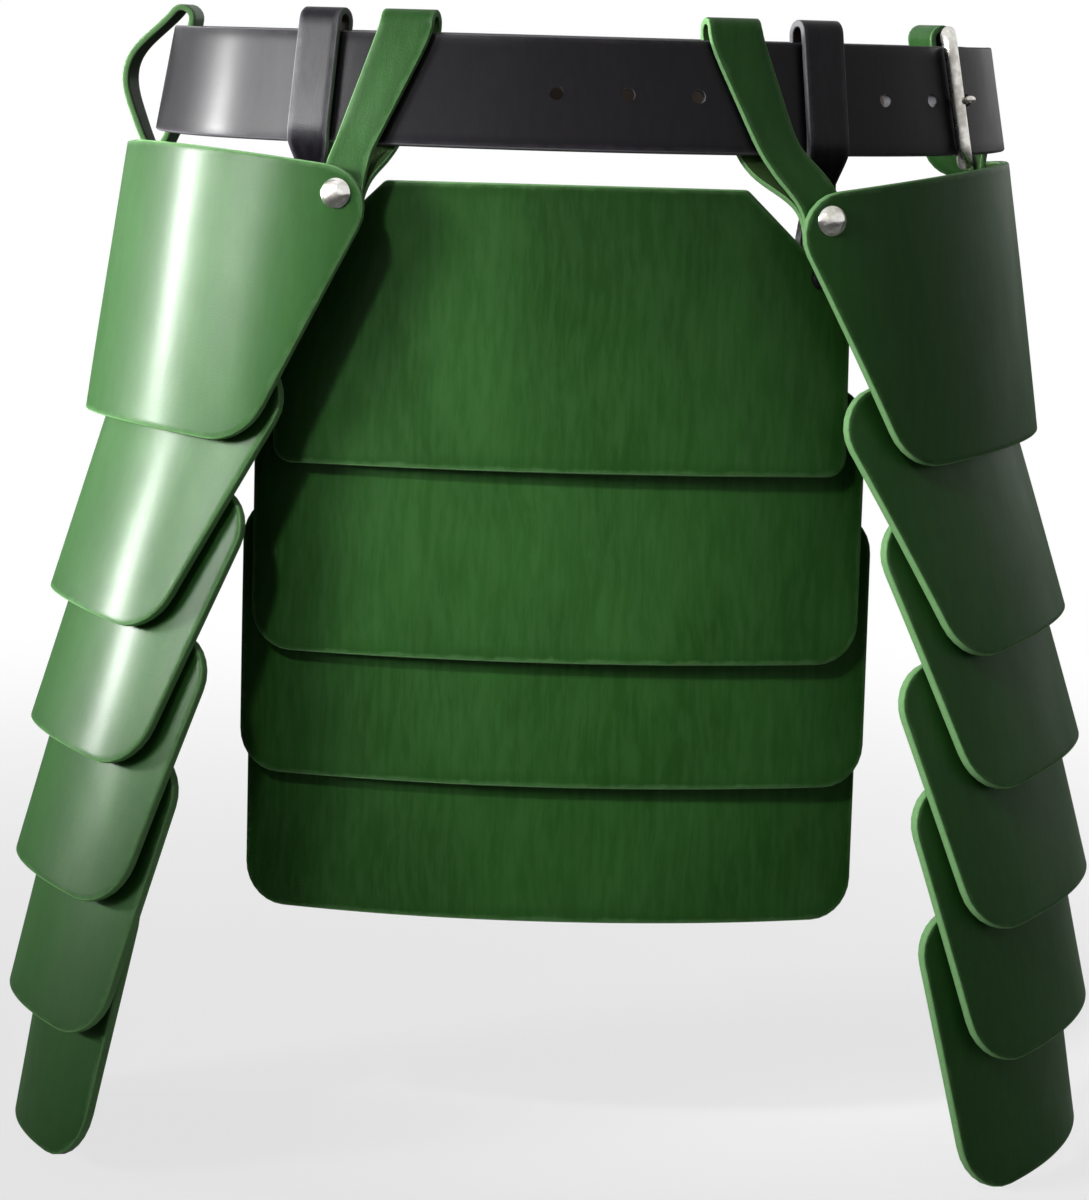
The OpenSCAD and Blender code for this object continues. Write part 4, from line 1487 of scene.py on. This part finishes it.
@dataclass
class Tasset:
    """What the front and side tassets share: lames, rivets, inner leathers and hangers."""

    wardrobe: Wardrobe
    fixings: Fixings
    trees: Trees
    name: str
    finish: Finish
    count: int

    def rivet_frame(self, k: int, end: End) -> Array:
        """The frame on the outer face of a lame at a rivet."""
        raise NotImplementedError

    def plate(self, k: int) -> Plate:
        """The plate of a lame."""
        raise NotImplementedError

    def body(self, k: int) -> str:
        """The body that a lame moves with."""
        return f"{self.name}_{k}"

    def build_lames(self) -> None:
        """Makes the lames, top one first."""
        for k in range(1, self.count + 1):
            node = f"{self.name}_lame_{k}"
            piece = self.plate(k).build(f"{node}_leather")
            self.wardrobe.dress(piece, self.finish, "green_leather", node)
            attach(piece, self.body(k))

    def build_rivets(self) -> None:
        """Sets the two rivets of each lame with the shared tree."""
        for k in range(1, self.count + 1):
            node = f"{self.name}_rivets_{k}"
            # The front top lame's rivets take the near-black metal as painted shade, as dark as
            # the shadow round them.
            large, black = k == 1 and self.name != "front", k == 1 and self.name == "front"
            sample = self.fixings.rivet_shell(large, self.fixings.under(k)).build("rivet_sample")
            frames = [upright(self.rivet_frame(k, end)) @ turn("x", 90)
                      @ turn("z", 40 * k + 70 * end.value) for end in End]
            piece = point_cloud(f"{node}_heads", frames)
            finish = Finish.BLACK_METAL if black else Finish.NICKEL
            grown(piece, self.trees["rivets"], {"Rivet": sample,
                                                "Finish": self.wardrobe.of(finish)})
            bpy.data.objects.remove(sample)
            shade(piece.data)
            self.wardrobe.dress(piece, finish, "black_metal" if black else "nickel", node)
            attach(piece, self.body(k))

    def build_leathers(self) -> None:
        """Makes the pair of inner leathers between each two lames."""
        f = self.fixings
        half, under, rise = f.leather_w / 2, f.pads[0] + f.leather_t / 2, f.rivet_down + 2.7
        for k in range(1, self.count):
            shell, ends = Shell(), []
            depth = f.under(k) + f.leather_t / 2
            head = f.leather_above if k == 1 else -0.3
            for end in End:
                top, low = self.rivet_frame(k, end), self.rivet_frame(k + 1, end)
                way = [station(top, (0, depth, z), half) for z in (head, -f.leather_below)]
                way += [station(low, (0, under, z), half) for z in (rise, 0.1)]
                Strap(way, f.leather_t, step=4.0, passes=4, bevel=0.3, across_parts=4).shell(shell)
                ends.append((way[1].centre, way[2].centre))
            node = f"{self.name}_leathers_{k}"
            piece = shell.build(f"{node}_straps", 0.2 * k)
            self.wardrobe.dress(piece, Finish.INNER, "inner_leather", node)
            start, stop = np.mean(ends, axis=0)
            metres(start)
            metres(stop)
            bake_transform(piece)

    def hang(self, node: str, way: list[Station], finish: Finish, slot: str,
             ends: tuple[Array, Array]) -> None:
        """Makes a hanger that bends between the belt and the top lame.

        Args:
            node: the frame's node that it stands for.
            way: its stations.
            finish: its finish.
            slot: the record's material slot, not used.
            ends: where its bend starts and stops, not used.
        """
        name = f"{node}_loop"
        piece = Strap(way, self.fixings.hanger_t).shell().build(name, len(name) * 0.13)
        self.wardrobe.dress(piece, finish, slot, node)
        start, stop = ends
        metres(start)
        metres(stop)
        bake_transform(piece)

    def build_hangers(self) -> None:
        """Makes the two hangers."""
        raise NotImplementedError

    def build(self) -> None:
        """Makes every piece of the tasset."""
        self.build_lames()
        self.build_rivets()
        self.build_leathers()
        self.build_hangers()


@dataclass
class SideTasset(Tasset):
    """A side tasset of lames that turn round the hip."""

    azimuth: float = 74.0
    radius: float = 111.0
    top_out: float = 178.0
    top_z: float = -120.5
    rear_set: float = 9.0
    height: tuple[float, ...] = (99.5, 104, 106, 102, 107, 107)
    drop: tuple[float, ...] = (66, 48.5, 50.5, 50.5, 50)
    tilt: tuple[float, ...] = (9, 18.4, 18.4, 16.4, 13.8, 10)
    gap: tuple[float, ...] = (4.1, 4.2, 4.8, 5.6, 6.5)
    front_top: tuple[float, ...] = (126, 104, 92, 88, 85, 81)
    front_low: tuple[float, ...] = (89, 77, 77, 77, 74.5, 72)
    rear_top: tuple[float, ...] = (72, 68, 64, 60, 58, 56)
    rear_low: tuple[float, ...] = (62, 56, 53, 51, 49, 46)
    corner_radii: tuple[float, float] = (22.0, 15.0)
    yaws: tuple[tuple[float, ...], ...] = (
        (-5, 0.5, -0.5, 0, 2, 7.5), (1.5, 1, 1, -1.5, -2, -3.5))
    sways: tuple[float, float] = (3.0, -1.0)
    green_az: float = 17.4
    green_rear_az: float = 20.4
    green_low_az: float = 22.0
    green_w: float = 19.0
    rear_w: float = 18.0
    rear_azs: tuple[float, float] = (95.0, 113.0)
    rear_bows: tuple[float, float] = (14.0, 5.0)
    rear_gap: float = 0.55
    below_belt: float = 1.5
    seed_step: float = 1.7
    side_seed: float = 4.1

    def __post_init__(self) -> None:
        """Finds its side, and the heights that its hangers' legs and ends have."""
        f = self.fixings
        self.side = Side(self.name)
        self.leg_heights = (-f.pad_low, f.pad_mid, f.pad_up - f.pad_end)
        self.low_z = -f.belt.edge_z - self.below_belt

    def axis(self, k: int) -> Array:
        """The frame of a lame's own axis, at its lower edge.

        Args:
            k: number of the lame from the top.

        Returns:
            The 4x4 frame.
        """
        out, low = self.top_out, self.top_z
        for i in range(1, k):
            out += (self.drop[i - 1] * math.tan(math.radians(self.tilt[i])) - self.gap[i - 1]
                    - self.fixings.lame_t / math.cos(math.radians(self.tilt[i - 1])))
            low -= self.drop[i - 1]
        half, side = self.fixings.belt.height / 2, self.side.index
        return self.side.frame(
            turn("z", self.azimuth) @ shift(self.rear_set, 0, -half) @ turn("y", self.sways[side])
            @ shift(0, -out, low + half) @ turn("x", -self.tilt[k - 1])
            @ shift(0, self.radius, 0) @ turn("z", self.yaws[side][k - 1]))

    def rivet_frame(self, k: int, end: End) -> Array:
        """The frame on the outer face of a lame at a rivet.

        Args:
            k: number of the lame from the top.
            end: which of its rivets.

        Returns:
            The 4x4 frame.
        """
        f, i = self.fixings, k - 1
        inset = f.rivet_side if k == 1 else f.rivet_in
        arc = inset - self.front_top[i] if end is End.FIRST else self.rear_top[i] - inset
        return (self.axis(k) @ turn("z", math.degrees(arc / self.radius))
                @ shift(0, -self.radius, self.height[i] - f.rivet_down))

    def plate(self, k: int) -> Plate:
        """The plate of a lame, which narrows to its lower edge.

        Args:
            k: number of the lame from the top.

        Returns:
            The plate.
        """
        i, h = k - 1, self.height[k - 1]
        first, second = (
            rounded_side([(0, 0), (low, 0), (top, h), (0, h)], self.corner_radii)
            for low, top in ((-self.front_low[i], -self.front_top[i]),
                             (self.rear_low[i], self.rear_top[i])))
        return Plate(self.axis(k), self.radius, self.fixings.lame_t, first, second,
                     self.seed_step * k + self.side_seed * self.side.index)

    def front_hanger(self) -> None:
        """Makes the slanting hanger at the front corner of the top lame."""
        f, low_w = self.fixings, self.green_w * 0.375
        half, rivet = self.green_w / 2, self.rivet_frame(1, End.FIRST)
        top, rear, low = (self.side.frame(f.belt.at(a))
                          for a in (self.green_az, self.green_rear_az, self.green_low_az))
        way = [*f.leg(rivet, 0, self.leg_heights),
               station(low, (0, f.outer_y - 0.8, self.low_z), low_w),
               station(top, (0, f.outer_y, f.top_z), half, 0, 0.4), *f.over_belt(top, half),
               station(rear, (0, f.inner_y, self.low_z), low_w, 180),
               *f.leg(rivet, 1, self.leg_heights)]
        self.hang(f"{self.name}_green_hanger", way, Finish.STRAP_GREEN, "green_leather",
                  (spot(low, 0, 0, self.low_z + 6), spot(rivet, 0, f.legs[0], f.pad_up)))

    def rear_hanger(self) -> None:
        """Makes the rear hanger, which bows out and turns over the top lame's edge."""
        f, side = self.fixings, self.side.index
        frame = self.side.frame(f.belt.at(self.rear_azs[side]))
        rivet = self.rivet_frame(1, End.SECOND)
        half, pad, eighth = self.rear_w / 2, f.pad_w / 2, f.belt.height / 8
        bow_y, turn_y = f.outer_y - self.rear_bows[side], f.hanger_t / 2 + self.rear_gap
        over = rivet @ shift(0, f.lame_t, f.rivet_down)
        start = f.leg(rivet, 0, self.leg_heights)
        start[-1].soft = 0.3
        way = [*start, station(over @ turn("x", 25), (0, turn_y, 0), pad, 0, 0.2),
               station(over @ turn("x", 55), (0, turn_y, 2), pad, 0, 0.2),
               station(frame, (0, bow_y, -eighth), half), station(frame, (0, bow_y, eighth), half),
               station(frame, (0, f.outer_y, f.high + 0.2), half, 0, 0.5),
               *f.over_belt(frame, half)[1:],
               station(frame, (0, f.inner_y, self.low_z), half, 180),
               *f.leg(rivet, 1, self.leg_heights)]
        self.hang(f"{self.name}_rear_hanger", way, Finish.STRAP_GREEN, "green_leather",
                  (spot(frame, 0, 0, self.low_z + 10), spot(rivet, 0, f.legs[0], f.pad_up)))

    def build_hangers(self) -> None:
        """Makes the two hangers."""
        self.front_hanger()
        self.rear_hanger()


@dataclass
class FrontTasset(Tasset):
    """The front tasset, each lame hung behind the one above."""

    radius: float = 300.0
    out: float = 105.0
    top: float = -31.0
    height: float = 99.0
    drop: tuple[float, ...] = (67.5, 45.5, 50)
    tilt: float = 3.0
    gap: float = 1.8
    half_w: tuple[float, ...] = (103, 110.5, 115, 112.5)
    neck: float = 63.0
    ear_drop: float = 22.0
    ear_rivet: float = 7.5
    ear_side: float = 12.0
    ear_radii: tuple[float, ...] = (7.0, 2.0, 5.0, 3.0)
    corner_low: float = 15.0
    black_w: float = 16.0
    black_az: float = 27.6
    black_low_az: float = 28.2
    behind: float = 5.25
    turn_down: float = 9.0
    ear_neck: float = 5.5
    seed_step: float = 2.3
    first_seed: float = 9.0
    warp: float = 0.22
    columns: int = 32

    def axis(self, k: int) -> Array:
        """The frame of a lame's own axis, at its lower edge.

        Args:
            k: number of the lame from the top.

        Returns:
            The 4x4 frame.
        """
        a = math.radians(self.tilt)
        low = self.top - self.height * math.cos(a) - sum(self.drop[: k - 1])
        step = self.fixings.lame_t / math.cos(a) + self.gap
        out = self.out + (self.top - low) * math.tan(a) - (k - 1) * step
        return shift(0, -out, low) @ turn("x", -self.tilt) @ shift(0, self.radius, 0)

    def rivet_frame(self, k: int, end: End) -> Array:
        """The frame on the outer face of a lame at a rivet.

        Args:
            k: number of the lame from the top.
            end: which of its rivets.

        Returns:
            The 4x4 frame.
        """
        f = self.fixings
        aside, down = f.rivet_side + 1, f.rivet_down
        if k == 1:
            aside, down = self.ear_side, self.ear_drop + self.ear_rivet
        angle = math.degrees(end.value * (self.half_w[k - 1] - aside) / self.radius)
        return self.axis(k) @ turn("z", angle) @ shift(0, -self.radius, self.height - down)

    def plate(self, k: int) -> Plate:
        """The plate of a lame. The top one has an ear at each side of its neck.

        Args:
            k: number of the lame from the top.

        Returns:
            The plate.
        """
        w, h = self.half_w[k - 1], self.height
        corners, radii = [(w, h)], (self.corner_low, self.corner_low)
        if k == 1:
            ear, radii = h - self.ear_drop, self.ear_radii
            corners = [(w - 1, ear), (w - self.ear_side - self.ear_neck, ear + 1), (self.neck, h)]
        side = rounded_side([(0, 0), (w, 0), *corners, (0, h)], radii)
        return Plate(self.axis(k), self.radius, self.fixings.lame_t, side * [-1, 1], side,
                     self.seed_step * k + self.first_seed, self.columns, self.warp)

    def hanger(self, side: Side) -> None:
        """Makes a black hanger, whose legs turn in behind the ear of the top lame.

        Args:
            side: the side that it is on.
        """
        f = self.fixings
        top, low = (side.frame(f.belt.at(a)) for a in (self.black_az, self.black_low_az))
        rivet = self.rivet_frame(1, (End.FIRST, End.SECOND)[side.index])
        half, slim, edge = self.black_w / 2, self.black_w * 0.3, f.belt.edge_z
        turn_y, turn_z = self.behind + f.hanger_t / 2, -edge - self.turn_down
        up = self.ear_rivet + 5
        heights = (2 - self.ear_rivet, up - f.pad_end)
        way = [*f.leg(rivet, 0, heights), station(low, (0, turn_y, turn_z), slim, 0, 0.5),
               station(top, (0, f.outer_y, -edge - 0.8), half, 0, 0.5),
               station(top, (0, f.outer_y, f.top_z), half, 0, 0.4), *f.over_belt(top, half),
               station(low, (0, turn_y + f.hanger_t + f.layer_gap, turn_z), slim, 180, 0.6),
               *f.leg(rivet, 1, heights)]
        self.hang(f"front_hanger_{side.value}", way, Finish.BLACK, "black_leather",
                  (spot(top, 0, 0, -edge), spot(rivet, 0, f.legs[0], up)))

    def build_hangers(self) -> None:
        """Makes the two hangers."""
        for side in Side:
            self.hanger(side)


# The studio


def look(place: Place, target: Place) -> Matrix:
    """The placing of a camera or lamp that looks at a point."""
    way = Vector(target) - Vector(place)
    return Matrix.Translation(place) @ way.to_track_quat("-Z", "Y").to_matrix().to_4x4()


@dataclass(frozen=True)
class Lamp:
    """A soft rectangular lamp: its place, width and height, watts, aim and fan in degrees."""

    name: str
    place: Place
    size: tuple[float, float]
    power: float
    aim: Place = (0, 0, -0.18)
    spread: float = 180.0

    def build(self) -> None:
        """Puts the lamp in the scene."""
        data = bpy.data.lights.new(self.name, "AREA")
        data.shape, data.size, data.size_y, data.energy = "RECTANGLE", *self.size, self.power
        data.spread = math.radians(self.spread)
        link(self.name, data).matrix_world = look(self.place, self.aim)


@dataclass
class Studio:
    """Camera, lamps, floor and surroundings, in metres."""

    eye: Place = (0.001, -1.200, 0.0209)
    target: Place = (-0.0039, -0.060, -0.1833)
    roll: float = 1.58
    lens: float = 105.2
    sensor: float = 36.0
    fill: float = 0.05
    floor_half: float = 40.0
    floor_near: float = 0.35
    floor_far: float = 1.1
    floor_glow: float = 0.72
    lamps: tuple[Lamp, ...] = (
        Lamp("strip_left", (-1.61, 0.10, 0.15), (0.20, 0.30), 0.75, (-0.14, -0.03, -0.09), 16),
        Lamp("key_left", (-1.48, -0.62, 0.30), (0.9, 0.35), 1.6, (-0.15, -0.02, -0.06), 27),
        Lamp("front_high", (-0.50, -0.95, 0.72), (0.15, 0.15), 0.115, (-0.01, -0.12, -0.15), 12.5),
        Lamp("front_fill", (0.25, -2.1, 0.9), (1.5, 0.8), 1.2),
        Lamp("top_soft", (-0.2, 0.1, 1.6), (1.2, 1.2), 1.5))

    def camera(self) -> None:
        """Sets the camera at the photograph's viewing angle."""
        data = bpy.data.cameras.new("camera")
        data.lens, data.sensor_width, data.sensor_fit = self.lens, self.sensor, "HORIZONTAL"
        made = link("camera", data)
        made.matrix_world = (look(self.eye, self.target)
                             @ Matrix.Rotation(math.radians(self.roll), 4, "Z"))
        bpy.context.scene.camera = made

    def surroundings(self) -> None:
        """Makes a white background and a dim even fill."""
        world = bpy.data.worlds.new("studio")
        bpy.context.scene.world = world
        world.use_nodes = True
        g = Graph(world.node_tree)
        rays = g.add("ShaderNodeLightPath").outputs
        seen = g.maths("ADD", rays["Is Camera Ray"], rays["Is Glossy Ray"])
        seen = g.maths("ADD", seen, rays["Is Transmission Ray"], clamp=True)
        level = g.add("ShaderNodeMapRange", {"Value": seen, "To Min": self.fill, "To Max": 1.0})
        g.feed(world.node_tree.nodes["Background"], {"Color": (1, 1, 1, 1),
                                                     "Strength": level.outputs[0]})

    def floor(self, level: float) -> None:
        """Makes the pale floor that the skirt's tips stand on.

        Args:
            level: its height in metres.
        """
        mesh = bpy.data.meshes.new("studio_floor")
        corners = [(x * self.floor_half, y * self.floor_half, level)
                   for x, y in ((-1, -1), (1, -1), (1, 1), (-1, 1))]
        mesh.from_pydata(corners, [], [(0, 1, 2, 3)])
        made, g = new_material("Pale floor")
        g.tree.nodes.clear()
        at = g.add("ShaderNodeTexCoord").outputs["Object"]
        far = g.add("ShaderNodeVectorMath", {0: at}, operation="LENGTH").outputs["Value"]
        matt = g.add("ShaderNodeBsdfDiffuse", {"Color": (0.86, 0.86, 0.86, 1)})
        glow = g.add("ShaderNodeEmission", {"Color": (1, 1, 1, 1), "Strength": 1.0})
        seen = g.add("ShaderNodeLightPath").outputs["Is Camera Ray"]
        share = g.times(seen, g.ramp(far, self.floor_near, self.floor_far, self.floor_glow, 1.0))
        both = g.add("ShaderNodeMixShader", {0: share, 1: matt.outputs[0], 2: glow.outputs[0]})
        g.add("ShaderNodeOutputMaterial", {"Surface": both.outputs[0]})
        mesh.materials.append(made)
        link("studio_floor", mesh)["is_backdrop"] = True

    def build(self, floor_level: float) -> None:
        """Sets up everything round the part.

        Args:
            floor_level: height of the floor in metres.
        """
        bpy.context.scene.view_settings.view_transform = "Standard"
        self.camera()
        for lamp in self.lamps:
            lamp.build()
        self.surroundings()
        self.floor(floor_level)


def main() -> None:
    """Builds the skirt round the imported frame, part by part."""
    logging.basicConfig(level=logging.INFO, format="%(message)s")
    for item in list(bpy.data.objects):
        bpy.data.objects.remove(item)
    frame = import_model()
    low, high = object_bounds()
    wardrobe = Wardrobe()
    trees = {"rivets": rivet_tree(), "holes": hole_tree()}
    belt = Belt(wardrobe)
    belt.build(trees, frame)
    fixings = Fixings(belt)
    FrontTasset(wardrobe, fixings, trees, "front", Finish.GREEN, 4).build()
    for side in Side:
        SideTasset(wardrobe, fixings, trees, side.value, Finish.SMOOTH_GREEN, 6).build()
    Studio().build(float(low.z) - FLOOR_GAP)
    low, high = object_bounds()


if __name__ == "__main__":
    main()
